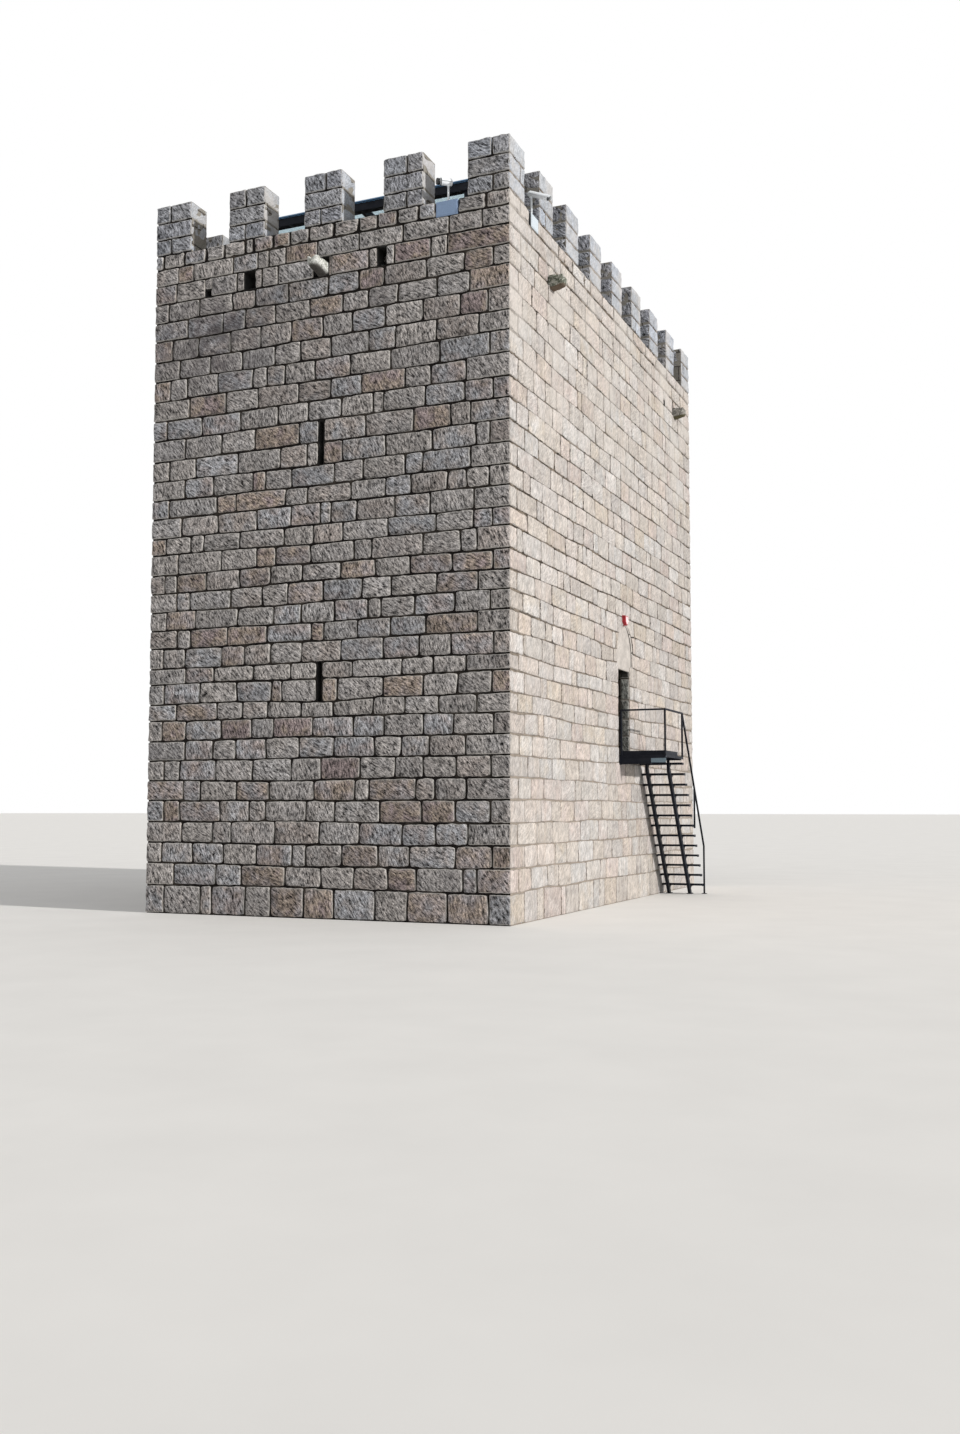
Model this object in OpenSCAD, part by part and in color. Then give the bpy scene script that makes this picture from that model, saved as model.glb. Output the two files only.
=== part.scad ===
// Castle keep of coursed granite: a hollow rectangular tower with a crenellated parapet,
// stone water spouts, an upper doorway under a pointed tympanum, a steep steel stair with
// a landing, a glazed steel canopy over the top and small fixtures on the parapet.
// Millimetres, +Z up. The front (short) side faces -Y and the door is in the +X side.
// The origin is on the ground, in the middle of the whole outline with stair and spouts.

/* [Tower] */
// Width of the short front and back
front_w = 7650; // [6500:50:9000]
// Length of the long sides
side_l = 12900; // [11800:50:15000]
// Height of the wall walk above the ground
walk_h = 12120; // [11300:20:13500]
// Wall thickness below the entry floor
wall_t_base = 1800; // [1500:50:2000]
// Set-back of the inner wall face at each floor, the ledge that carries the floor
floor_ledge = 200; // [100:10:250]

/* [Parapet] */
// Height of the parapet from the wall walk to the bottom of a crenel
parapet_h = 1005; // [900:5:1200]
// Thickness of the parapet and of the merlons
parapet_t = 500; // [350:10:600]
// Height of a merlon above the parapet
merlon_h = 1020; // [800:10:1200]
// Number of merlons along the front, with both corners
front_merlon_count = 5; // [4:1:6]
// Number of merlons along a long side, with both corners
side_merlon_count = 9; // [7:1:10]
// Width of a merlon on the front
front_merlon_w = 810; // [650:10:900]
// Width of a merlon on a long side
side_merlon_w = 740; // [650:10:850]

/* [Floors] */
// Height of the entry floor, which is the door's sill
entry_z = 3190; // [2900:10:3700]
// Height of the upper floor
upper_z = 7350; // [6900:50:8000]
// Thickness of the two room floors
floor_t = 250; // [150:10:350]
// Thickness of the deck at the wall walk
deck_t = 250; // [150:10:350]

/* [Doorway] */
// Distance from the front face to the near edge of the door
door_from_front = 6365; // [5500:5:6800]
// Width of the door between its outer jambs
door_w = 830; // [750:10:1000]
// Height of the door
door_h = 1890; // [1700:10:2200]
// Depth of the outer jambs, in front of the wider passage
reveal_d = 200; // [150:10:350]
// How much wider the passage is than the door, on each side and above
passage_extra = 150; // [80:10:250]
// Thickness of the stone sill
sill_t = 150; // [100:10:200]
// Width of the pointed tympanum over the door
tympanum_w = 1080; // [950:10:1100]
// Distance of the tympanum's middle from the door's middle, to the back
tympanum_shift = 50; // [0:5:100]
// Height of the tympanum from the door head to the point of its arch
tympanum_h = 1040; // [1000:10:1400]
// Height of the straight stretch under the arch
springing_h = 400; // [100:10:410]
// Thickness of the tympanum slab
tympanum_t = 250; // [150:10:350]
// Depth that the slab stands back from the wall face
tympanum_set_back = 30; // [10:5:60]
// Mortar joint round the slab's arch
mortar_joint = 3; // [2:1:8]

/* [Slits and holes] */
// Outer width of an arrow slit
slit_w = 110; // [60:5:160]
// Width of an arrow slit at the room side
slit_inner_w = 560; // [300:20:800]
// Height of the upper slit
upper_slit_h = 840; // [600:20:1100]
// Height of the upper slit's sill above the upper floor
upper_slit_sill = 1140; // [900:20:1400]
// Height of the lower slit
lower_slit_h = 750; // [500:10:1000]
// Height of the lower slit's sill above the entry floor
lower_slit_sill = 820; // [600:10:1200]
// Height of the course that holds the parapet's holes and spouts
hole_course_h = 400; // [300:10:450]
// Width of the wide lookout hole in the front parapet
wide_hole_w = 270; // [200:10:350]
// Distance of the wide hole's middle from the front's middle, to the left
wide_hole_x = 1625; // [1300:25:1900]
// Width of the narrow lookout hole in the front parapet
narrow_hole_w = 200; // [150:10:260]
// Distance of the narrow hole's middle from the front's middle, to the right
narrow_hole_x = 1265; // [1000:5:1500]
// Side of the small square drain hole
drain_hole = 150; // [100:10:200]
// Distance of the drain hole's middle from the front's middle, to the left
drain_hole_x = 2585; // [2300:5:2900]

/* [Spouts] */
// Width of a water spout
spout_w = 250; // [220:10:340]
// Height of a water spout at the wall
spout_h = 260; // [220:10:320]
// Height of a water spout at its tip
spout_tip_h = 185; // [170:5:210]
// Reach of the front and back spouts beyond the wall
end_spout_reach = 450; // [350:10:600]
// Reach of the long sides' spouts beyond the wall
side_spout_reach = 300; // [250:10:500]
// Length of a spout that lies on the wall walk, behind the parapet
spout_tail = 120; // [60:10:200]
// Depth that the long sides' spouts are let into the wall's top course
side_spout_drop = 80; // [40:10:120]
// Radius of the water channel along a spout's top
channel_r = 55; // [40:5:80]
// Free width on each side of a spout in its socket
socket_side_gap = 75; // [20:5:80]
// Distance from the front face to the first side spout
near_spout_y = 2160; // [1800:20:2600]
// Distance from the back face to the second side spout
far_spout_from_back = 1510; // [1300:10:2400]
// Distance from the second side spout forward to the long side's drain hole
side_drain_from_spout = 960; // [800:20:1200]

/* [Canopy] */
// Distance from the outer wall faces to the canopy's edge
canopy_inset = 1400; // [1300:20:1600]
// Height of the canopy's steel top above the wall walk
canopy_h = 2060; // [1900:10:2400]
// Width of an edge beam
edge_beam_w = 120; // [80:5:160]
// Depth of an edge beam
edge_beam_h = 190; // [150:5:300]
// Number of glass bays across the canopy
canopy_bays = 4; // [3:1:6]
// Width of a rafter
rafter_w = 70; // [50:5:100]
// Depth of a rafter
rafter_h = 150; // [100:5:200]
// Side of a square canopy post
canopy_post = 100; // [80:5:120]
// Thickness of the glass
glass_t = 24; // [12:2:40]
// Gap between two panes over a rafter
pane_gap = 20; // [10:2:30]

/* [Landing] */
// Distance from the door's near edge back to the landing's near edge, along the wall
landing_back = 40; // [20:5:200]
// Length of the landing along the wall
landing_l = 1490; // [1300:10:1800]
// Reach of the landing from the wall
landing_w = 1050; // [950:10:1200]
// Thickness of the deck plate
deck_plate_t = 30; // [20:2:60]
// Length of the near beam under the landing, from the wall
near_beam_l = 720; // [500:10:900]
// Width of the near beam
near_beam_w = 80; // [60:5:120]
// Depth of the near beam
near_beam_h = 170; // [100:5:200]
// Height of the plate beside the near beam's end
end_plate_h = 160; // [60:5:200]
// Height of the toe boards on the landing
toe_board_h = 90; // [60:5:120]
// Thickness of a toe board
toe_board_t = 12; // [8:1:20]
// Length of the outer toe board
outer_toe_board_l = 1050; // [800:10:1200]
// Side of the far edge member
far_member = 50; // [40:5:80]
// Side of the square rails and posts
rail_t = 36; // [30:1:60]
// Height of the top rail above the landing
rail_h = 1000; // [900:10:1100]

/* [Stair] */
// Number of treads
tread_count = 13; // [11:1:15]
// Height of the landing above the first tread
first_drop = 130; // [120:5:200]
// Horizontal step from one tread to the next
going = 150; // [140:1:180]
// Depth of a tread
tread_d = 170; // [155:5:220]
// Thickness of a tread
tread_t = 40; // [30:2:50]
// Clear gap between the treads and the wall
tread_wall_gap = 30; // [10:5:60]
// Width of a stringer bar
stringer_w = 60; // [45:5:80]
// Depth of a stringer bar, square to its slope
stringer_d = 120; // [90:5:150]
// Distance from the wall to the middle of the inner stringer
inner_stringer_offset = 200; // [150:5:260]
// Distance from the wall to the middle of the outer stringer
outer_stringer_offset = 705; // [620:5:760]
// Length of the bracket under a tread
bracket_l = 130; // [100:5:150]
// Tread that carries the handrail's middle post, counted from the landing
mid_post_tread = 7; // [5:1:9]

/* [Fixtures] */
// Width of the front camera's junction box
front_box_w = 430; // [350:10:480]
// Height of the front camera's junction box
front_box_h = 280; // [250:10:360]
// Width of the side camera's junction box
side_box_w = 360; // [300:10:420]
// Height of the side camera's junction box
side_box_h = 260; // [230:10:340]
// Depth of a junction box
box_d = 140; // [100:10:180]
// Distance from the front's right corner to the middle of its box
front_box_from_corner = 1225; // [1100:5:1400]
// Distance from the front face to the middle of the side camera's box
side_box_y = 1240; // [1100:10:1300]
// Distance that a junction box stands out from the wall face
box_stand_out = 20; // [10:2:40]
// Free width beside the front camera's box in its recess
front_recess_gap = 25; // [10:5:40]
// Free width in front of the side camera's box in its recess
side_recess_gap = 100; // [50:10:120]
// Length of the front camera's housing
front_camera_l = 300; // [250:10:380]
// Radius of the front camera's housing
front_camera_r = 58; // [50:2:70]
// Length of the side camera's housing
side_camera_l = 440; // [350:10:480]
// Radius of the side camera's housing
side_camera_r = 46; // [40:2:60]
// Height of the front camera above its junction box
front_camera_rise = 365; // [240:5:400]
// Height of the side camera above its junction box
side_camera_rise = 445; // [300:5:460]
// Radius of a camera's pole
pole_r = 19; // [14:1:25]
// Thickness of the shade over a camera
shade_t = 8; // [5:1:12]
// Distance that the shade stands out past the lens
shade_overhang = 50; // [30:5:80]
// Depth of the lens behind the end of a housing
lens_depth = 30; // [15:5:50]
// Width of the rim round a lens
lens_rim = 10; // [6:1:14]
// Length of a camera behind its pole
camera_tail = 70; // [50:5:110]
// Turn of the front camera away from the wall, in degrees
front_camera_turn = 45; // [20:5:60]
// Downward tilt of the front camera, in degrees
front_camera_tilt = 3; // [0:1:30]
// Downward tilt of the side camera, in degrees
side_camera_tilt = 22; // [0:1:35]
// Width of the alarm siren
alarm_w = 240; // [180:10:300]
// Height of the alarm siren
alarm_h = 230; // [200:10:320]
// Depth of the alarm siren
alarm_d = 100; // [70:5:130]
// Height that the siren reaches down over the tympanum's point
alarm_overlap = 40; // [0:5:60]

/* [Hidden] */
$fn = 48;
// A count fine enough for the point where two arcs meet
arch_segments = 360;

// A little extra length, so that a cut runs past a face
past = 50;

granite = [0.62, 0.58, 0.53];
pale_granite = [0.70, 0.66, 0.60];
mossy_granite = [0.50, 0.50, 0.42];
timber = [0.42, 0.33, 0.24];
paving = [0.55, 0.52, 0.48];
dark_steel = [0.10, 0.11, 0.13];
white_paint = [0.85, 0.87, 0.88];
grey_paint = [0.62, 0.66, 0.68];
siren_red = [0.70, 0.08, 0.09];
glass_tint = [0.65, 0.78, 0.85, 0.4];

half_w = front_w / 2;
half_l = side_l / 2;
crenel_z = walk_h + parapet_h;

// The whole outline reaches further on the stair side than on the left,
// so the tower's middle is off the origin by half of the difference.
tower_x = -(landing_w - side_spout_reach) / 2;

// Wall bands from the ground up: each floor rests on the ledge under it.
band_z = [0, entry_z - floor_t, upper_z - floor_t, walk_h - deck_t, walk_h];
band_t = [for (i = [0:3]) wall_t_base - i * floor_ledge];
band_h = [for (i = [0:3]) band_z[i + 1] - band_z[i]];
entry_t = band_t[1];

door_y0 = -half_l + door_from_front;
door_y1 = door_y0 + door_w;
door_mid = (door_y0 + door_y1) / 2;
door_head_z = entry_z + door_h;
tympanum_back = tympanum_set_back + tympanum_t;

front_pitch = (front_w - front_merlon_w) / (front_merlon_count - 1);
side_pitch = (side_l - side_merlon_w) / (side_merlon_count - 1);

socket_w = spout_w + 2 * socket_side_gap;
seat_l = parapet_t + spout_tail;
spout_corner_r = 90;

canopy_x = half_w - canopy_inset;
canopy_y = half_l - canopy_inset;
canopy_z = walk_h + canopy_h;
beam_bottom_z = canopy_z - edge_beam_h;
bay_w = 2 * canopy_x / canopy_bays;

landing_y0 = door_y0 + landing_back;
landing_y1 = landing_y0 + landing_l;
deck_bottom_z = entry_z - deck_plate_t;
rail_x1 = half_w + landing_w;
rail_x0 = rail_x1 - rail_t;
rail_top_z = entry_z + rail_h;

riser = (entry_z - first_drop) / tread_count;
slope = riser / going;
tread_x0 = half_w + tread_wall_gap;
tread_outer_x = rail_x0;
stringer_drop = stringer_d / cos(atan(slope));
far_spout_y = side_l - far_spout_from_back;

function tread_y(k) = landing_y1 + (k - 1) * going;
function tread_top(k) = entry_z - first_drop - (k - 1) * riser;

// A box between two corners
module box(low, high) {
    translate(low) cube(high - low);
}

// Everything is drawn about the tower's own middle and then set to the origin's place.
module at_tower() {
    translate([tower_x, 0, 0]) children();
}

// One end wall, at -Y, with its ledges
module end_wall_mass() {
    for (i = [0:3])
        translate([-half_w, -half_l, band_z[i]]) cube([front_w, band_t[i], band_h[i]]);
}

// The outer face of a long side's parapet is at +half_w
module on_right_parapet(from_front) {
    translate([half_w, -half_l + from_front, walk_h]) rotate([0, 0, 90]) children();
}

// Both places where a long side's spouts lie, let into the wall's top
module at_side_spouts() {
    for (y = [near_spout_y, far_spout_y]) translate([0, 0, -side_spout_drop]) on_right_parapet(y) children();
}

// One long wall, at +X, between the end walls, with a seat for each spout in its top
module side_wall_mass() {
    difference() {
        for (i = [0:3])
            translate([half_w - band_t[i], -half_l + band_t[i], band_z[i]])
                cube([band_t[i], side_l - 2 * band_t[i], band_h[i]]);
        at_side_spouts()
            translate([-socket_w / 2, -past, 0]) cube([socket_w, past + seat_l, hole_course_h]);
    }
}

// A slit through an end wall, narrow outside and splayed towards the room
module slit_cut(wall_t, sill_z, height) {
    translate([0, -half_l, sill_z])
        linear_extrude(height)
            polygon([
                [-slit_w / 2, -past], [slit_w / 2, -past], [slit_w / 2, reveal_d],
                [slit_inner_w / 2, wall_t], [slit_inner_w / 2, wall_t + past],
                [-slit_inner_w / 2, wall_t + past], [-slit_inner_w / 2, wall_t], [-slit_w / 2, reveal_d]
            ]);
}

module front_wall() {
    color(granite) at_tower() difference() {
        end_wall_mass();
        slit_cut(band_t[2], upper_z + upper_slit_sill, upper_slit_h);
        slit_cut(band_t[1], entry_z + lower_slit_sill, lower_slit_h);
    }
}

module back_wall() {
    color(granite) at_tower() mirror([0, 1, 0]) difference() {
        end_wall_mass();
        slit_cut(band_t[2], upper_z + upper_slit_sill, upper_slit_h);
    }
}

module left_wall() {
    color(granite) at_tower() mirror([1, 0, 0]) side_wall_mass();
}

// The door's opening: narrow between the outer jambs and wider behind them
module doorway_cut() {
    box([half_w - reveal_d, door_y0, entry_z - sill_t], [half_w + past, door_y1, door_head_z]);
    box(
        [half_w - entry_t - past, door_y0 - passage_extra, entry_z],
        [half_w - reveal_d, door_y1 + passage_extra, door_head_z + passage_extra]
    );
    box([half_w - entry_t - past, door_y0, entry_z - sill_t], [half_w, door_y1, entry_z]);
}

// The pointed outline over the door, less a joint round its arch: y to the right, z up
module arch_outline(joint) {
    half = tympanum_w / 2 - joint;
    rise = tympanum_h - springing_h - joint;
    // Each side is an arc of one circle that meets the other at the point.
    r = (half * half + rise * rise) / (2 * half);
    translate([-half, 0]) square([2 * half, springing_h]);
    translate([0, springing_h]) intersection() {
        translate([half - r, 0]) circle(r, $fn = arch_segments);
        translate([r - half, 0]) circle(r, $fn = arch_segments);
        translate([-half, 0]) square([2 * half, rise + 1]);
    }
}

// The outline as a slab, from a depth behind the wall face outwards
module arch_slab(back, thickness, joint) {
    translate([half_w - back, door_mid + tympanum_shift, door_head_z])
        rotate([90, 0, 90]) linear_extrude(thickness) arch_outline(joint);
}

module right_wall_cut() {
    difference() {
        side_wall_mass();
        doorway_cut();
        arch_slab(tympanum_back, tympanum_back + past, 0);
    }
}

// A length of the right wall between two distances along it, and between two heights
module right_wall_part(y0, y1, z0, z1) {
    color(pale_granite) at_tower() intersection() {
        right_wall_cut();
        box([half_w - wall_t_base - past, y0, z0], [half_w + past, y1, z1]);
    }
}

module right_wall_near() { right_wall_part(-half_l, door_y0, 0, walk_h); }
module right_wall_far() { right_wall_part(door_y1, half_l, 0, walk_h); }
module right_wall_over_door() { right_wall_part(door_y0, door_y1, door_head_z, walk_h); }
module right_wall_under_door() { right_wall_part(door_y0, door_y1, 0, entry_z - sill_t); }

module door_tympanum() {
    color(pale_granite) at_tower() arch_slab(tympanum_back, tympanum_t, mortar_joint);
}

module door_sill() {
    color(pale_granite) at_tower()
        box([half_w - entry_t, door_y0, entry_z - sill_t], [half_w, door_y1, entry_z]);
}

// A spout's socket through the parapet at a place along it
module socket_cut() {
    translate([-socket_w / 2, -past, 0]) cube([socket_w, parapet_t + 2 * past, hole_course_h]);
}

// A plain hole through the parapet, standing on the wall walk's course
module hole_cut(width, height, lift) {
    translate([-width / 2, -past, lift]) cube([width, parapet_t + 2 * past, height]);
}

// A recess for a junction box, from the face at y 0 inwards, its open top at z 0
module recess_cut(x0, x1, height) {
    translate([x0, -past, -height]) cube([x1 - x0, past + box_d - box_stand_out, height + past]);
}

// A parapet along the front, its outer face at -half_l
module end_parapet() {
    difference() {
        translate([-half_w, -half_l, walk_h]) cube([front_w, parapet_t, parapet_h]);
        translate([0, -half_l, walk_h]) socket_cut();
        children();
    }
}

module side_parapet() {
    difference() {
        box([half_w - parapet_t, -half_l + parapet_t, walk_h], [half_w, half_l - parapet_t, crenel_z]);
        at_side_spouts() socket_cut();
        children();
    }
}

module front_parapet() {
    color(granite) at_tower() end_parapet() {
        translate([-wide_hole_x, -half_l, walk_h]) hole_cut(wide_hole_w, hole_course_h, 0);
        translate([narrow_hole_x, -half_l, walk_h]) hole_cut(narrow_hole_w, hole_course_h, 0);
        translate([-drain_hole_x, -half_l, walk_h]) hole_cut(drain_hole, drain_hole, 0);
        front_fixture_place()
            recess_cut(-front_box_w / 2 - front_recess_gap, front_box_w / 2 + front_recess_gap, front_box_h);
    }
}

module back_parapet() {
    color(granite) at_tower() mirror([0, 1, 0]) end_parapet() {
        for (x = [-wide_hole_x, wide_hole_x])
            translate([x, -half_l, walk_h]) hole_cut(narrow_hole_w, hole_course_h, 0);
    }
}

module right_parapet() {
    color(pale_granite) at_tower() side_parapet() {
        on_right_parapet(far_spout_y - side_drain_from_spout) hole_cut(drain_hole, drain_hole, 0);
        side_fixture_place()
            recess_cut(-side_box_w / 2 - side_recess_gap, side_box_w / 2, side_box_h);
    }
}

module left_parapet() {
    color(granite) at_tower() mirror([1, 0, 0]) side_parapet() {
        on_right_parapet(side_l / 2) hole_cut(drain_hole, drain_hole, 0);
    }
}

// An L-shaped merlon on the front right corner
module corner_merlon() {
    box([half_w - front_merlon_w, -half_l, crenel_z], [half_w, -half_l + parapet_t, crenel_z + merlon_h]);
    box([half_w - parapet_t, -half_l, crenel_z], [half_w, -half_l + side_merlon_w, crenel_z + merlon_h]);
}

module corner_merlons() {
    color(granite) at_tower()
        for (mx = [0, 1], my = [0, 1]) mirror([mx, 0, 0]) mirror([0, my, 0]) corner_merlon();
}

module end_merlons() {
    for (i = [1:front_merlon_count - 2])
        translate([-half_w + i * front_pitch, -half_l, crenel_z])
            cube([front_merlon_w, parapet_t, merlon_h]);
}

module side_merlons() {
    for (i = [1:side_merlon_count - 2])
        translate([half_w - parapet_t, -half_l + i * side_pitch, crenel_z])
            cube([parapet_t, side_merlon_w, merlon_h]);
}

module front_merlons() { color(granite) at_tower() end_merlons(); }
module back_merlons() { color(granite) at_tower() mirror([0, 1, 0]) end_merlons(); }
module right_merlons() { color(pale_granite) at_tower() side_merlons(); }
module left_merlons() { color(granite) at_tower() mirror([1, 0, 0]) side_merlons(); }

// A floor on the ledge between two bands of the walls
module floor_slab(band, top_z, thickness) {
    inner_x = half_w - band_t[band];
    inner_y = half_l - band_t[band];
    box([-inner_x, -inner_y, top_z - thickness], [inner_x, inner_y, top_z]);
}

module entry_floor() { color(timber) at_tower() floor_slab(1, entry_z, floor_t); }
module upper_floor() { color(timber) at_tower() floor_slab(2, upper_z, floor_t); }
module roof_deck() { color(paving) at_tower() floor_slab(3, walk_h, deck_t); }

// A spout along +Y with its tip at -reach and the wall face at 0
module spout(reach) {
    tip_rise = spout_h - spout_tip_h;
    difference() {
        rotate([90, 0, 0]) translate([0, 0, -seat_l]) linear_extrude(reach + seat_l) difference() {
            union() {
                translate([-spout_w / 2, spout_corner_r]) square([spout_w, spout_h - spout_corner_r]);
                translate([-spout_w / 2 + spout_corner_r, 0])
                    square([spout_w - 2 * spout_corner_r, spout_corner_r]);
                for (s = [-1, 1])
                    translate([s * (spout_w / 2 - spout_corner_r), spout_corner_r]) circle(spout_corner_r);
            }
            translate([0, spout_h]) circle(channel_r);
        }
        // The underside rises towards the tip.
        rotate([-atan(tip_rise / reach), 0, 0])
            translate([-spout_w, -2 * reach, -spout_h]) cube([2 * spout_w, 2 * reach, spout_h]);
    }
}

module end_spout() {
    translate([0, -half_l, walk_h]) spout(end_spout_reach);
}

module side_spouts() {
    at_side_spouts() spout(side_spout_reach);
}

module front_spout() { color(mossy_granite) at_tower() end_spout(); }
module back_spout() { color(mossy_granite) at_tower() mirror([0, 1, 0]) end_spout(); }
module right_spouts() { color(mossy_granite) at_tower() side_spouts(); }
module left_spouts() { color(mossy_granite) at_tower() mirror([1, 0, 0]) side_spouts(); }

module canopy_posts() {
    inset = (edge_beam_w - canopy_post) / 2;
    color(dark_steel) at_tower()
        for (sx = [-1, 1], y = [-canopy_y + inset, -canopy_post / 2, canopy_y - inset - canopy_post])
            translate([sx > 0 ? canopy_x - inset - canopy_post : -canopy_x + inset, y, walk_h])
                cube([canopy_post, canopy_post, beam_bottom_z - walk_h]);
}

module canopy_edge_beams() {
    color(dark_steel) at_tower() difference() {
        box([-canopy_x, -canopy_y, beam_bottom_z], [canopy_x, canopy_y, canopy_z]);
        box(
            [-canopy_x + edge_beam_w, -canopy_y + edge_beam_w, beam_bottom_z - past],
            [canopy_x - edge_beam_w, canopy_y - edge_beam_w, canopy_z + past]
        );
    }
}

module canopy_rafters() {
    color(dark_steel) at_tower()
        for (i = [1:canopy_bays - 1])
            translate([-canopy_x + i * bay_w - rafter_w / 2, -canopy_y + edge_beam_w, canopy_z - rafter_h])
                cube([rafter_w, 2 * (canopy_y - edge_beam_w), rafter_h]);
}

module canopy_glass() {
    color(glass_tint) at_tower()
        for (i = [0:canopy_bays - 1])
            translate([-canopy_x + i * bay_w + pane_gap / 2, -canopy_y, canopy_z])
                cube([bay_w - pane_gap, 2 * canopy_y, glass_t]);
}

module landing_beams() {
    color(dark_steel) at_tower() {
        box(
            [half_w, landing_y0, deck_bottom_z - near_beam_h],
            [half_w + near_beam_l, landing_y0 + near_beam_w, deck_bottom_z]
        );
        box(
            [half_w, landing_y1 - far_member, deck_bottom_z - far_member],
            [half_w + landing_w - far_member, landing_y1, deck_bottom_z]
        );
    }
}

module landing_deck() {
    color(dark_steel) at_tower() box([half_w, landing_y0, deck_bottom_z], [rail_x1, landing_y1, entry_z]);
}

// Upright plates on the deck, behind the near posts and along the outer edge
module landing_toe_boards() {
    board_y0 = landing_y0 + rail_t;
    color(dark_steel) at_tower() {
        box([tread_x0, board_y0, entry_z], [rail_x0, board_y0 + toe_board_t, entry_z + toe_board_h]);
        box(
            [rail_x0, board_y0, entry_z],
            [rail_x0 + toe_board_t, board_y0 + outer_toe_board_l, entry_z + toe_board_h]
        );
    }
}

// An upright on the landing's deck, up to the underside of the top rail
module landing_post(x, y) {
    translate([x, y, entry_z]) cube([rail_t, rail_t, rail_h - rail_t]);
}

module landing_near_rail() {
    color(dark_steel) at_tower() {
        landing_post(half_w + tread_wall_gap, landing_y0);
        landing_post(rail_x0, landing_y0);
        box(
            [half_w + tread_wall_gap, landing_y0, rail_top_z - rail_t],
            [rail_x1, landing_y0 + rail_t, rail_top_z]
        );
    }
}

module landing_outer_rail() {
    color(dark_steel) at_tower() {
        landing_post(rail_x0, landing_y1 - rail_t);
        box([rail_x0, landing_y0 + rail_t, rail_top_z - rail_t], [rail_x1, landing_y1, rail_top_z]);
    }
}

// A stringer's side view: a sloping bar with its top edge through every tread's near lower
// edge, level at the ground, and a bracket under each tread. y is along the wall, z is up.
module stringer_profile() {
    // Where the bar's top edge leaves the landing and where it meets the ground
    first_z = tread_top(1) - tread_t;
    ground_y = landing_y1 + first_z / slope;
    inner_y = landing_y1 - far_member;
    polygon([
        [landing_y1, first_z], [ground_y, 0], [ground_y - stringer_drop / slope, 0],
        [inner_y, first_z - stringer_drop + far_member * slope],
        [inner_y, deck_bottom_z - far_member], [landing_y1, deck_bottom_z - far_member]
    ]);
    for (k = [1:tread_count])
        translate([tread_y(k), tread_top(k) - tread_t])
            polygon([[0, 0], [bracket_l, 0], [bracket_l / 3, -bracket_l / 3 * slope]]);
}

module stair_stringers() {
    color(dark_steel) at_tower()
        for (offset_x = [inner_stringer_offset, outer_stringer_offset])
            translate([half_w + offset_x - stringer_w / 2, 0, 0])
                rotate([90, 0, 90]) linear_extrude(stringer_w) stringer_profile();
}

module stair_treads() {
    color(dark_steel) at_tower()
        for (k = [1:tread_count])
            box(
                [tread_x0, tread_y(k), tread_top(k) - tread_t],
                [tread_outer_x, tread_y(k) + tread_d, tread_top(k)]
            );
}

// A steel plate under the deck's near edge, from the near beam's end to the outer corner
module landing_end_plate() {
    color(grey_paint) at_tower()
        box(
            [half_w + near_beam_l, landing_y0, deck_bottom_z - end_plate_h],
            [rail_x1, landing_y0 + toe_board_t, deck_bottom_z]
        );
}

// The sloping rail from the landing's outer post to the foot, with two uprights
module stair_handrail() {
    rail_drop = rail_t / cos(atan(slope));
    foot_y = landing_y1 + tread_count * going;
    foot_top_z = rail_top_z - tread_count * riser;
    mid_y1 = tread_y(mid_post_tread) + tread_d;
    mid_y0 = mid_y1 - rail_t;
    // The uprights end inside the sloping rail's depth.
    mid_top_z = rail_top_z - (mid_y1 - landing_y1) * slope - rail_drop / 2;
    color(dark_steel) at_tower() {
        translate([rail_x0, 0, 0]) rotate([90, 0, 90]) linear_extrude(rail_t)
            polygon([
                [landing_y1, rail_top_z], [foot_y, foot_top_z], [foot_y, foot_top_z - rail_drop],
                [landing_y1, rail_top_z - rail_drop]
            ]);
        box(
            [rail_x0, mid_y0, tread_top(mid_post_tread) - 2 * tread_t],
            [rail_x1, mid_y1, mid_top_z]
        );
        box([rail_x0, foot_y - rail_t, 0], [rail_x1, foot_y, foot_top_z - rail_drop / 2]);
    }
}

// The wall face at a box's place: y 0 on the face, z 0 at the bottom of the crenels
module front_fixture_place() {
    translate([half_w - front_box_from_corner, -half_l, crenel_z]) children();
}

module side_fixture_place() {
    translate([half_w, -half_l + side_box_y, crenel_z]) rotate([0, 0, 90]) children();
}

// A junction box in its recess, in the middle of x
module junction_box(width, height) {
    translate([-width / 2, -box_stand_out, -height]) cube([width, box_d, height]);
}

module front_camera_box() {
    color(grey_paint) at_tower() front_fixture_place() junction_box(front_box_w, front_box_h);
}

module side_camera_box() {
    color(white_paint) at_tower() side_fixture_place() junction_box(side_box_w, side_box_h);
}

// A housing along +Z with its lens end up, and a half-round shade on its +X side
module camera_housing(length, radius) {
    difference() {
        union() {
            cylinder(h = length, r = radius);
            intersection() {
                translate([0, 0, shade_overhang]) cylinder(h = length, r = radius + shade_t);
                translate([0, -2 * radius, 0]) cube([2 * radius, 4 * radius, 2 * length]);
            }
        }
        translate([0, 0, length - lens_depth])
            cylinder(h = lens_depth + shade_overhang + past, r = radius - lens_rim);
    }
}

// A camera on a pole in the middle of a box's top, looking along -X, its shade upwards
module camera_on_pole(rise, length, radius, turn, tilt) {
    translate([0, box_d / 2 - box_stand_out, 0]) rotate([0, 0, turn]) {
        cylinder(h = rise, r = pole_r);
        translate([0, 0, rise]) rotate([0, -90 - tilt, 0]) translate([0, 0, -camera_tail])
            camera_housing(length, radius);
    }
}

module front_camera() {
    color(white_paint) at_tower() front_fixture_place()
        camera_on_pole(
            front_camera_rise, front_camera_l, front_camera_r, front_camera_turn, front_camera_tilt
        );
}

// The side camera looks straight out from the wall.
module side_camera() {
    color(white_paint) at_tower() side_fixture_place()
        camera_on_pole(side_camera_rise, side_camera_l, side_camera_r, 90, side_camera_tilt);
}

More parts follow.
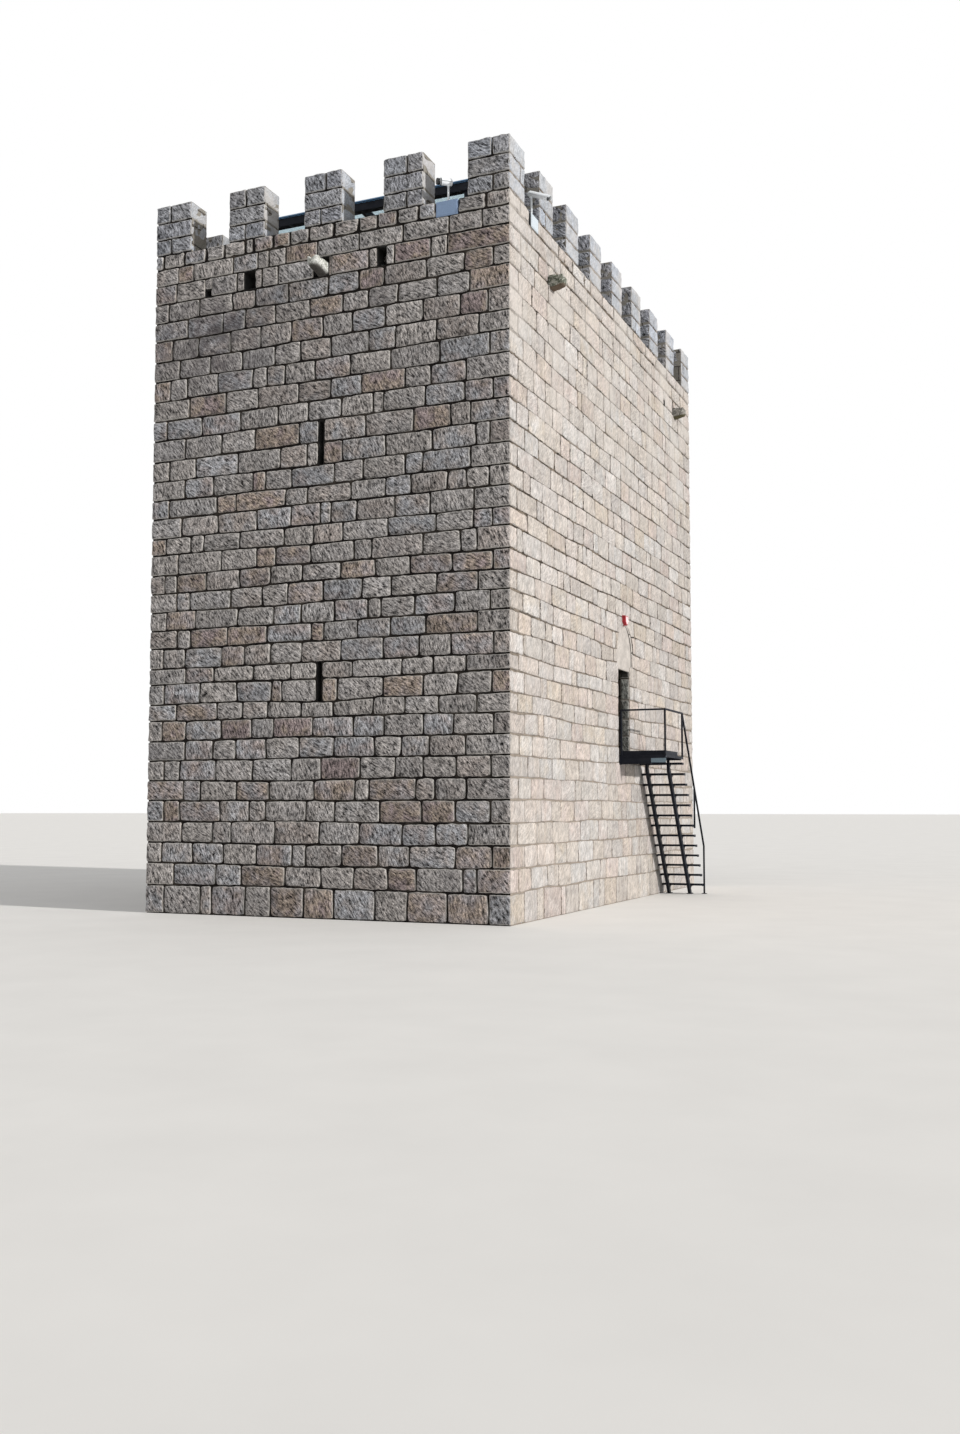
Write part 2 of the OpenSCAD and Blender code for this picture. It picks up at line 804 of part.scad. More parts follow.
module alarm_siren() {
    z0 = door_head_z + tympanum_h - alarm_overlap;
    color(siren_red) at_tower()
        box([half_w, door_mid - alarm_w / 2, z0], [half_w + alarm_d, door_mid + alarm_w / 2, z0 + alarm_h]);
}

front_wall();
back_wall();
left_wall();
right_wall_near();
right_wall_far();
right_wall_over_door();
right_wall_under_door();
door_tympanum();
door_sill();
front_parapet();
back_parapet();
left_parapet();
right_parapet();
corner_merlons();
front_merlons();
back_merlons();
left_merlons();
right_merlons();
entry_floor();
upper_floor();
roof_deck();
front_spout();
back_spout();
left_spouts();
right_spouts();
canopy_posts();
canopy_edge_beams();
canopy_rafters();
canopy_glass();
landing_beams();
landing_deck();
landing_near_rail();
landing_outer_rail();
landing_toe_boards();
landing_end_plate();
stair_stringers();
stair_treads();
stair_handrail();
front_camera_box();
front_camera();
side_camera_box();
side_camera();
alarm_siren();
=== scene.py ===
import math

import bpy
import numpy as np
from mathutils import Matrix, Vector


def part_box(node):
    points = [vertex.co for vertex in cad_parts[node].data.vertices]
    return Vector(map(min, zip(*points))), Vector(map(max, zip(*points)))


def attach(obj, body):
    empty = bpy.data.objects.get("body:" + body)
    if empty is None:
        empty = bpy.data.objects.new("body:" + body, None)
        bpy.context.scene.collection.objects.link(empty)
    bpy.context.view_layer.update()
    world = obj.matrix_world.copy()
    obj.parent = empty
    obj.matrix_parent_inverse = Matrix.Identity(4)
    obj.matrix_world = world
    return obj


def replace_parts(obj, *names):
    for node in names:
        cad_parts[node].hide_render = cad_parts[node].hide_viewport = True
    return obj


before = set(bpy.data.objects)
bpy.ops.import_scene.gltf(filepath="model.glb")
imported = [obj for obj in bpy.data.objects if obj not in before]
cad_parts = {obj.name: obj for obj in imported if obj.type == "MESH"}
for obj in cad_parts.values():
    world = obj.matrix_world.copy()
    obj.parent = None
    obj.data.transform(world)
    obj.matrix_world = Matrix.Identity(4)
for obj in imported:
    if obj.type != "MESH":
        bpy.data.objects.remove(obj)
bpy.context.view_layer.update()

# Places taken from the CAD frame, in metres
front_lo, front_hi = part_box("front_wall")
parapet_lo, parapet_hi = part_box("front_parapet")
under_lo, under_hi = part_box("right_wall_under_door")
arch_lo, arch_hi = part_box("door_tympanum")
front_spout_lo, front_spout_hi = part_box("front_spout")
right_spouts_lo, right_spouts_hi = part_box("right_spouts")
front_box_lo, front_box_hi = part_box("front_camera_box")
side_box_lo, side_box_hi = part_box("side_camera_box")

X0, X1 = front_lo.x, front_hi.x
Y0, Y1 = front_lo.y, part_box("back_wall")[1].y
WALK_Z = front_hi.z
CRENEL_Z = parapet_hi.z
TOP_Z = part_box("corner_merlons")[1].z
MIDDLE_X = (X0 + X1) / 2
PARAPET_T = parapet_hi.y - parapet_lo.y
DOOR_Y0, DOOR_Y1 = under_lo.y, under_hi.y
DOOR_MID = (DOOR_Y0 + DOOR_Y1) / 2
DOOR_HEAD_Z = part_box("right_wall_over_door")[0].z
SILL_Z = under_hi.z
ENTRY_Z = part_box("door_sill")[1].z
ARCH_MID = (arch_lo.y + arch_hi.y) / 2
SPOUT_HALF = (front_spout_hi.x - front_spout_lo.x) / 2
NEAR_SPOUT_Y = right_spouts_lo.y + SPOUT_HALF
FAR_SPOUT_Y = right_spouts_hi.y - SPOUT_HALF

# The slab over the door: where its arch springs above its foot, and the stones on its far side
SPRING_H = 0.40
RING_W = 0.12
RING_TOP_Z = arch_hi.z + 0.09
# Depth of the door's and the slits' narrow outer part
REVEAL = 0.20
SLIT_HALF = 0.055
UPPER_SLIT = (8.49, 9.33)
LOWER_SLIT = (4.01, 4.76)
# The bed joint that dips to the lower slit's foot
LOWER_SLIT_BED = 4.06

# Masonry
# Bed joints of the courses from the wall walk down to the ground
BED_JOINTS = (12.12, 11.74, 11.36, 10.94, 10.54, 10.13, 9.73, 9.34, 8.92, 8.51, 8.12,
              7.76, 7.36, 7.01, 6.62, 6.27, 5.89, 5.52, 5.16, 4.76, 4.45, 4.06, 3.73,
              3.35, 2.97, 2.57, 2.18, 1.78, 1.37, 0.97, 0.56, 0.0)
PARAPET_JOINTS = (CRENEL_Z, 12.845, 12.50, WALK_Z)
MERLON_JOINTS = (TOP_Z, 13.80, 13.46, CRENEL_Z)
JOINT_GAP = 0.029
JOINT_GAP_SUNNY = 0.013
UPRIGHT_GAP_SUNNY = 0.021
TOP_GAP = 0.042
PROUD = 0.024
PROUD_SUNNY = 0.014
SET_IN = 0.05
LINE_WAVE = 0.014
STONE_WAVE = 0.009
ARRIS = 0.022
STONE_W = 0.70
NARROWEST = 0.19
RELIEF = 0.0045
WOBBLE = 0.006
WOBBLE_SUNNY = 0.002
# Length of the waves along a stone's edge, and how far in from its arris the face is even
WOBBLE_LENGTH = 0.17
ARRIS_FADE = 0.05
# How far a stone's face swells in its middle, and how far it stands off the others or tilts
SWELL = 0.006
UNEVEN = 0.004
# How far a stone's end leans, how far its bed shifts, and how much the sunny upright joints vary
END_LEAN = 0.009
BED_SHIFT = 0.005
UPRIGHT_SPREAD = (0.6, 1.6)
# A course is split where a hole takes more than this share of its height.
CUT_SHARE = 0.35
# The beds bend to the door's head and sill when nearer than this, and so far to each side.
DOOR_CATCH = 0.13
DOOR_REACH = 1.2

# Joints of the sunny wall that run straight up through several courses: place along it, bottom, top
STRAIGHT_JOINTS = ((-0.385, 8.12, 8.55), (0.195, 8.55, 9.77), (1.315, 7.76, 8.18), (4.855, 9.34, 9.74),
                   (5.48, 9.34, 9.74))

# Camera and light
EYE = (12.0, -27.808, 2.04)
LOOK_LEFT = 23.13
LOOK_UP = 3.93
LENS = 33.163
SUN_AZIMUTH = 6.0
SUN_ELEVATION = 20.5


# Meshes
def mesh_object(name, verts, faces, material, tones=None):
    """A smooth mesh that rides on the body, from corners and from lists of corner numbers."""
    mesh = bpy.data.meshes.new(name)
    mesh.from_pydata(np.asarray(verts).tolist(), [], faces)
    mesh.polygons.foreach_set("use_smooth", np.full(len(mesh.polygons), True))
    if tones is not None:
        layer = mesh.attributes.new("stone", "FLOAT_COLOR", "POINT")
        layer.data.foreach_set("color", np.asarray(tones, np.float32).ravel())
    mesh.update()
    mesh.materials.append(material)
    thing = bpy.data.objects.new(name, mesh)
    bpy.context.scene.collection.objects.link(thing)
    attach(thing, "root")
    return thing


def add_second(thing, material, chosen):
    """A second material, for the chosen faces."""
    thing.data.materials.append(material)
    thing.data.polygons.foreach_set("material_index", np.asarray(chosen, np.int32))


# A square's corners in turn
SQUARE = ((0, 0), (1, 0), (1, 1), (0, 1))


def on_axis(axis, along, across, z):
    """A point from its places along a wall and across it."""
    return (across, along, z) if axis else (along, across, z)


def waves(points, wavelength, seed, terms=6):
    """Smooth noise, mostly between -1 and 1: plane waves of about one wavelength added up."""
    chance = np.random.default_rng(seed)
    total = np.zeros(points.shape[:-1])
    for _ in range(terms):
        direction = chance.normal(size=3)
        direction /= np.linalg.norm(direction)
        length = wavelength * chance.uniform(0.7, 1.4)
        total += np.sin(points @ direction * (2 * math.pi / length) + chance.uniform(0, 2 * math.pi))
    return total / math.sqrt(terms / 2) / 1.4


def grid_steps(inner, rim=()):
    """Where the grid lines of a rounded stone lie, as (share of radius, share of length)."""
    near = np.array([0, *rim, 1.0])
    q = np.linspace(0, 1, inner + 2)[1:-1]
    return np.concatenate([near, 1 - 2 * q, -near[::-1]]), np.concatenate([0 * near, q, 0 * near + 1])


def stone_tones(chance, count):
    """A brightness, a hue, a weathering and an offset for the noise of each stone."""
    return chance.random((count, 3)), chance.uniform(-50, 50, (count, 3))


def box_faces(n, lookup):
    """The faces of a box whose sides are grids of n points, as numbers from the lookup."""
    faces = []
    for axis in range(3):
        u, v = (axis + 1) % 3, (axis + 2) % 3
        for side in (0, n[axis] - 1):
            for i in range(n[u] - 1):
                for j in range(n[v] - 1):
                    corners = []
                    for du, dv in SQUARE:
                        at = [0, 0, 0]
                        at[axis], at[u], at[v] = side, i + du, j + dv
                        corners.append(lookup[tuple(at)])
                    faces.append(corners if side else corners[::-1])
    return np.array(faces)


class Blocks:
    """Gathers stones that are rounded boxes with worn faces, seen from more than one side."""

    def __init__(self):
        self.lows, self.highs = [], []

    def add(self, corner, opposite):
        self.lows.append(np.minimum(corner, opposite))
        self.highs.append(np.maximum(corner, opposite))

    def arrays(self, seed, radius=ARRIS, relief=RELIEF, inner=(5, 4, 3), wear=0.5):
        low, high = np.array(self.lows, float), np.array(self.highs, float)
        count = len(low)
        shade, shift = stone_tones(np.random.default_rng(seed), count)
        axes = []
        for axis in range(3):
            a, b = grid_steps(inner[axis])
            axes.append(low[:, axis, None] + a * radius + b * (high - low)[:, axis, None])
        n = [line.shape[1] for line in axes]
        index = np.array([at for at in np.ndindex(*n) if any(at[k] in (0, n[k] - 1) for k in range(3))])
        p = np.stack([axes[k][:, index[:, k]] for k in range(3)], -1)
        core = np.clip(p, low[:, None] + radius, high[:, None] - radius)
        out = p - core
        on_edge = (np.abs(out) > radius / 2).sum(-1) > 1
        normal = out / np.maximum(np.linalg.norm(out, axis=-1, keepdims=True), 1e-9)
        place = p + shift[:, None]
        rough = relief * (waves(place, 0.22, seed + 1) + 0.6 * waves(place, 0.09, seed + 2))
        chip = radius * wear * np.maximum(0, waves(place, 0.30, seed + 3) - 0.2) * on_edge
        verts = core + normal * (radius + rough - chip)[..., None]
        tones = np.empty(verts.shape[:2] + (4,))
        tones[..., :3] = shade[:, None]
        tones[..., 3] = on_edge
        quads = box_faces(n, {tuple(at): number for number, at in enumerate(index)})
        faces = (quads[None] + np.arange(count)[:, None, None] * len(index)).reshape(-1, 4)
        return verts.reshape(-1, 3), faces, tones.reshape(-1, 4)

    def build(self, name, material, slot, seed, **options):
        verts, faces, tones = self.arrays(seed, **options)
        return mesh_object(name, verts, faces.tolist(), material, tones)


class Parts:
    """Gathers steel, glass and plastic parts into one mesh."""

    def __init__(self):
        self.verts, self.faces, self.smooth = [], [], []

    def take(self, verts, faces, smooth=False, place=None):
        start = len(self.verts)
        self.verts += [tuple(place @ Vector(vert)) if place else tuple(vert) for vert in verts]
        self.faces += [tuple(start + int(v) for v in face) for face in faces]
        self.smooth += [smooth] * len(faces)

    def box(self, corner, opposite, bevel=0.001):
        """A box between two opposite corners, all its edges chamfered."""
        low, high = np.minimum(corner, opposite), np.maximum(corner, opposite)
        bevel = min(bevel, *((high - low) / 3))
        signs = list(np.ndindex(2, 2, 2))
        verts, number = [], {}
        for sign in signs:
            for axis in range(3):
                vert = np.where(np.array(sign) > 0, high - bevel, low + bevel)
                vert[axis] = high[axis] if sign[axis] else low[axis]
                number[sign, axis] = len(verts)
                verts.append(vert)

        def sign_of(axis, side, at_u, at_v):
            sign = [0, 0, 0]
            sign[axis], sign[(axis + 1) % 3], sign[(axis + 2) % 3] = side, at_u, at_v
            return tuple(sign)

        faces = []
        for axis in range(3):
            u, v = (axis + 1) % 3, (axis + 2) % 3
            for side in (0, 1):
                faces.append([number[sign_of(axis, side, *at), axis] for at in SQUARE])
            for at in np.ndindex(2, 2):
                a, b = sign_of(axis, 0, *at), sign_of(axis, 1, *at)
                faces.append([number[a, u], number[b, u], number[b, v], number[a, v]])
        faces += [[number[sign, axis] for axis in range(3)] for sign in signs]
        self.take(verts, outward(verts, faces, (low + high) / 2))

    def block(self, x, y, z, half_x, half_y, height, bevel=0.001):
        """A box that stands on a height, with its middle over a point."""
        self.box((x - half_x, y - half_y, z), (x + half_x, y + half_y, z + height), bevel)

    def turned(self, profile, sides=20, place=None):
        """A turned part on the Z axis, from (height, radius) pairs, closed at both ends."""
        verts = [(r * math.cos(2 * math.pi * k / sides), r * math.sin(2 * math.pi * k / sides), h)
                 for h, r in profile for k in range(sides)]
        self.take(verts, ring_faces(len(profile), sides), True, place)
        start = len(self.verts) - len(verts)
        self.faces.append(tuple(start + k for k in reversed(range(sides))))
        self.faces.append(tuple(start + len(verts) - sides + k for k in range(sides)))
        self.smooth += [False, False]

    def rod(self, start, end, radius, sides=16):
        start, end = Vector(start), Vector(end)
        self.turned([(0, radius), ((end - start).length, radius)], sides, aimed(start, end - start))

    def bolt(self, place, size=0.009):
        """A hexagonal head with a washer, standing on the place's XY plane."""
        self.turned([(0, size * 1.25), (size * 0.18, size * 1.25)], 12, place)
        self.turned([(size * 0.18, size), (size * 0.75, size), (size * 0.9, size * 0.8)], 6, place)

    def build(self, name, material, slot):
        thing = mesh_object(name, self.verts, self.faces, material)
        thing.data.polygons.foreach_set("use_smooth", self.smooth)
        return thing


def outward(verts, faces, centre):
    """The faces of a convex part, each turned so that it looks away from the centre."""
    verts = np.array(verts)
    turned = []
    for face in faces:
        a, b, c = verts[face[0]], verts[face[1]], verts[face[2]]
        out = np.dot(np.cross(b - a, c - a), verts[list(face)].mean(0) - centre)
        turned.append(list(face) if out > 0 else list(face)[::-1])
    return turned


def aimed(point, direction, up=None):
    """A place whose Z axis runs along a direction, its X axis as near as can be to up."""
    z = Vector(direction).normalized()
    up = Vector(up or ((0, 0, 1) if abs(z.z) < 0.9 else (1, 0, 0)))
    x = (up - z * up.dot(z)).normalized()
    turn = Matrix((x, z.cross(x), z)).transposed().to_4x4()
    return Matrix.Translation(Vector(point)) @ turn


def ring_faces(rings, sides):
    """The faces between rings of corners that follow one another."""
    return [(ring * sides + k, ring * sides + (k + 1) % sides,
             (ring + 1) * sides + (k + 1) % sides, (ring + 1) * sides + k)
            for ring in range(rings - 1) for k in range(sides)]


def arch_half(z):
    """Half of the tympanum's width at a height, for its pointed outline."""
    spring = arch_lo.z + SPRING_H
    half, rise = (arch_hi.y - arch_lo.y) / 2, arch_hi.z - spring
    r = (half * half + rise * rise) / (2 * half)
    up = np.clip(z - spring, 0, rise)
    width = np.sqrt(np.maximum(r * r - up * up, 0)) - (r - half)
    return np.where(z > arch_hi.z, 0, np.maximum(width, 0))


class Face:
    """One outer face of the tower: u runs along it, z up, and d out of it."""

    def __init__(self, axis, plane, out):
        self.axis, self.plane, self.out = axis, plane, out
        # The face's quads run along u and then up, so two of the faces have to be turned.
        self.turned = (out > 0) == (axis == 0)

    def point(self, u, z, d):
        across = self.plane + self.out * d
        return np.stack(on_axis(self.axis, u, across + 0 * u, z), -1)


FRONT = Face(0, Y0, -1)
BACK = Face(0, Y1, 1)
RIGHT = Face(1, X1, 1)
LEFT = Face(1, X0, -1)


def bed_line(face, number, u):
    """Height of a bed joint along a face. It wavers, and meets the other face's at the corner."""
    base = BED_JOINTS[number]
    u = np.asarray(u, float)
    if number == 0 or number == len(BED_JOINTS) - 1:
        return base + 0 * u
    at = face.point(u, np.full_like(u, 40.0 * number), 0)
    line = base + LINE_WAVE * waves(at, 3.1, 11) + 0.4 * LINE_WAVE * waves(at, 0.9, 12)
    if face is RIGHT:
        line = line + STONE_WAVE * waves(at, 0.6, 13)
        near = np.exp(-(((u - DOOR_MID) / DOOR_REACH) ** 2))
        for target in (DOOR_HEAD_Z, SILL_Z):
            if abs(base - target) < DOOR_CATCH:
                line = line + (target - line) * near
    if face is FRONT and base == LOWER_SLIT_BED:
        line = line - 0.05 * np.exp(-(((u - MIDDLE_X) / 0.7) ** 2))
    return line


def split_stretch(u0, u1, previous, chance, mean=STONE_W):
    """Upright joints between two ends, kept away from those of the course below."""
    length = u1 - u0
    best, best_score = None, -1
    for _ in range(14):
        count = max(1, int(round(length / mean + chance.uniform(-0.3, 0.3))))
        widths = chance.uniform(0.72, 1.3, count)
        widths[chance.random(count) < 0.14] *= 0.42
        widths = np.maximum(widths * length / widths.sum(), NARROWEST)
        edges = u0 + np.concatenate([[0], np.cumsum(widths)]) / widths.sum() * length
        inner = edges[1:-1]
        if len(inner) == 0 or len(previous) == 0:
            return edges
        score = np.abs(inner[:, None] - np.asarray(previous)[None]).min(1)
        score = np.minimum(score, 0.16).mean() + 0.3 * np.minimum(score, 0.12).min()
        if score > best_score:
            best, best_score = edges, score
    return best


def lay_face(face, cuts, seed):
    """The stones of a face, as rows of corners, with the joints wavering and leaning."""
    chance = np.random.default_rng(seed)
    sunny = face is RIGHT
    gap = JOINT_GAP_SUNNY if sunny else JOINT_GAP
    rows, previous = [], []
    for number in COURSES:
        top, bottom = BED_JOINTS[number], BED_JOINTS[number + 1]
        stretches = [(*row_ends(face, number), 0, 0)]
        for u0, u1, z0, z1, kind in cuts:
            if min(z1, top) - max(z0, bottom) < CUT_SHARE * (top - bottom):
                continue
            a, b, mark_a, mark_b = stretches.pop()
            stretches += [(a, u0, mark_a, kind), (u1, b, -kind, mark_b)]
        joints = []
        for a, b, mark_a, mark_b in stretches:
            edges = split_stretch(a, b, previous, chance)
            lean = chance.uniform(-END_LEAN, END_LEAN, len(edges))
            lean[0] = lean[-1] = 0
            joints += list(edges[1:-1])
            for k in range(len(edges) - 1):
                upright = UPRIGHT_GAP_SUNNY * chance.uniform(*UPRIGHT_SPREAD) if sunny else JOINT_GAP
                sides = np.array([edges[k] - lean[k], edges[k] + lean[k],
                                  edges[k + 1] - lean[k + 1], edges[k + 1] + lean[k + 1]])
                sides += np.array([1, 1, -1, -1]) * upright / 2
                shift = chance.uniform(-BED_SHIFT, BED_SHIFT, 2)
                low = bed_line(face, number + 1, sides[[0, 2]]) + gap / 2 + shift[0]
                high = bed_line(face, number, sides[[1, 3]]) - gap / 2 + shift[1]
                arch = (mark_a if k == 0 else 0, mark_b if k == len(edges) - 2 else 0)
                rows.append([*sides, *low, *high, *arch])
        previous = joints
    return np.array(rows)


def front_faces(n_u, n_z):
    """The faces of one stone: a grid in front, and sides that run back to four roots."""
    number = np.arange(n_u * n_z).reshape(n_z, n_u)
    quads = np.stack([number[:-1, :-1], number[:-1, 1:], number[1:, 1:], number[1:, :-1]], -1).reshape(-1, 4)
    base = n_u * n_z
    tris = []
    for side, ring in enumerate((number[0, :], number[:, -1], number[-1, ::-1], number[::-1, 0])):
        root_a, root_b = base + side, base + (side + 1) % 4
        half = len(ring) // 2
        tris += [(ring[k + 1], ring[k], root_a if k < half else root_b) for k in range(len(ring) - 1)]
        tris.append((root_a, root_b, ring[half]))
    return np.concatenate([quads, [(base + 3, base + 2, base + 1, base)]]), np.array(tris)


def rounded_grid(inner, width, height, radius, roundness):
    """A grid over each stone's front, its corners rounded by turning square rings into round
    ones: shares of the width and of the height, the distance from the edge, and whether that
    edge is one of those that catch the sun."""
    (a_u, b_u), (a_z, b_z) = (grid_steps(lines, (0.35,)) for lines in inner)
    x = a_u[None, None, :] * radius + b_u[None, None, :] * width + 0 * height * a_z[None, :, None]
    y = a_z[None, :, None] * radius + b_z[None, :, None] * height + 0 * x
    turn = np.minimum(radius * roundness, np.minimum(width, height) / 2.2)
    dx, dy = np.minimum(x, width - x), np.minimum(y, height - y)
    in_corner = (dx < turn) & (dy < turn)
    vx, vy = (turn - dx) / turn, (turn - dy) / turn
    squeeze = np.maximum(vx, vy) / np.maximum(np.hypot(vx, vy), 1e-9)
    move_x, move_y = (np.where(in_corner, turn * v * (1 - squeeze), 0) for v in (vx, vy))
    s = (x + np.where(x < width / 2, 1, -1) * move_x) / width
    t = (y + np.where(y < height / 2, 1, -1) * move_y) / height
    edge = np.where(in_corner, turn * (1 - np.maximum(vx, vy)), np.minimum(dx, dy))
    return s, t, edge, np.minimum(width - x, height - y) <= np.minimum(x, y)


def stone_sides(corner, s, t, sunny):
    """Each stone's left and right end and its heights, from the corners of its outline."""
    left, right, low, high = (corner[:, k] + (corner[:, k + 1] - corner[:, k]) * share
                              for k, share in ((0, t), (2, t), (4, s), (6, s)))
    z = low + (high - low) * t
    if sunny:
        # Stones beside the tympanum follow its outline.
        reach = arch_half(z) + JOINT_GAP_SUNNY / 2
        ring = np.where(z < RING_TOP_Z, RING_W + JOINT_GAP_SUNNY, 0)
        left = np.where(corner[:, 8] < 0, ARCH_MID + reach + ring, left)
        right = np.where(corner[:, 9] > 0, ARCH_MID - reach, right)
    return left, right, z


def stone_depths(place, s, t, edge, radius, chance, seed, sunny):
    """How far each point stands out: rounded arrises, pecked relief, a tilt and chipped edges."""
    count = len(place)
    drop = radius - np.sqrt(np.maximum(radius**2 - np.maximum(radius - edge, 0) ** 2, 0))
    inside = np.clip((edge - radius) / ARRIS_FADE, 0, 1)
    relief = RELIEF * (0.8 if sunny else 1)
    rough = relief * (waves(place, 0.26, seed + 1) + 0.8 * waves(place, 0.11, seed + 2))
    pecks = chance.uniform(-1, 1, rough.shape) * relief * 0.35
    swell = SWELL * chance.uniform(0.2, 1.0, count)[:, None, None] * inside
    stand = chance.uniform(-UNEVEN, UNEVEN, count)[:, None, None]
    tilt = chance.uniform(-UNEVEN, UNEVEN, (count, 2))[..., None, None]
    lean = tilt[:, 0] * (s - 0.5) + tilt[:, 1] * (t - 0.5)
    chips = np.clip(waves(place, 0.35, seed + 3) - 0.55, 0, 0.4) * radius * 1.2 * (edge < radius * 1.01)
    proud = PROUD_SUNNY if sunny else PROUD
    return proud + stand + lean - drop + rough * (0.35 + 0.65 * inside) + pecks * inside + swell - chips


def face_arrays(face, rows, seed, inner=(7, 4)):
    """Corners, faces and tones of a face's stones: rounded, pecked fronts with sides set in."""
    chance = np.random.default_rng(seed)
    sunny = face is RIGHT
    count = len(rows)
    shade, shift = stone_tones(chance, count)
    shift = shift[:, None, None]
    width, height = ((rows[:, k + 2] - rows[:, k])[:, None, None] for k in (0, 4))
    radius = ARRIS * chance.uniform(0.75, 1.25, count)[:, None, None] * (0.7 if sunny else 1)
    s, t, edge, sunlit = rounded_grid(inner, width, height, radius, 3.0 if sunny else 2.3)
    left, right, z = stone_sides(rows[:, :, None, None], s, t, sunny)
    u = left + (right - left) * s
    wobble = WOBBLE_SUNNY if sunny else WOBBLE
    at = face.point(u, z, 0) + shift
    u, z = u + wobble * waves(at, WOBBLE_LENGTH, seed + 4), z + wobble * waves(at, WOBBLE_LENGTH, seed + 5)
    place = face.point(u, z, 0) + shift
    front = face.point(u, z, stone_depths(place, s, t, edge, radius, chance, seed, sunny))
    corner_u = np.stack([left[:, 0, 0], right[:, 0, -1], right[:, -1, -1], left[:, -1, 0]], -1)
    corner_z = np.stack([z[:, 0, 0], z[:, 0, -1], z[:, -1, -1], z[:, -1, 0]], -1)
    roots = face.point(corner_u, corner_z, np.full_like(corner_u, -SET_IN))
    verts = np.concatenate([front.reshape(count, -1, 3), roots], 1)
    quads, tris = front_faces(s.shape[2], s.shape[1])
    if face.turned:
        quads, tris = quads[:, ::-1], tris[:, ::-1]
    offset = (np.arange(count) * verts.shape[1])[:, None, None]
    faces = (quads[None] + offset).reshape(-1, 4).tolist() + (tris[None] + offset).reshape(-1, 3).tolist()
    tones = np.zeros(verts.shape[:2] + (4,))
    tones[..., :3] = shade[:, None]
    # On the shaded faces the edges that catch the sun get the full share, a painted highlight over the worn
    # arris, the others a quarter, for wear. On the sunny face the share darkens the edges.
    rim = np.clip(1 - edge / (radius * 1.2), 0, 1) * (1 if sunny else np.where(sunlit, 1.0, 0.25))
    tones[:, :-roots.shape[1], 3] = rim.reshape(count, -1)
    return verts.reshape(-1, 3), faces, tones.reshape(-1, 4)


# Materials
class Nodes:
    """A node tree, with one short call for each node. A color is given as three numbers."""

    def __init__(self, tree):
        self.tree = tree

    def add(self, kind, inputs=None, **settings):
        made = self.tree.nodes.new("ShaderNode" + kind)
        for name, value in settings.items():
            setattr(made, name, value)
        for name, value in (inputs or {}).items():
            self.put(made.inputs[name], value)
        return made

    def put(self, socket, value):
        if isinstance(value, bpy.types.NodeSocket):
            self.tree.links.new(value, socket)
        elif socket.type == "RGBA":
            socket.default_value = (*value, 1.0)
        else:
            socket.default_value = value

    def ranged(self, value, low, high, out_low=0.0, out_high=1.0):
        made = self.add("MapRange", {"Value": value, "From Min": low, "From Max": high,
                                     "To Min": out_low, "To Max": out_high})
        return made.outputs["Result"]

    def math(self, operation, a, b=0.0):
        return self.add("Math", {0: a, 1: b}, operation=operation).outputs[0]

    def product(self, first, *others):
        for other in others:
            first = self.math("MULTIPLY", first, other)
        return first

    def distance(self, value, middle):
        return self.math("ABSOLUTE", self.math("SUBTRACT", value, middle))


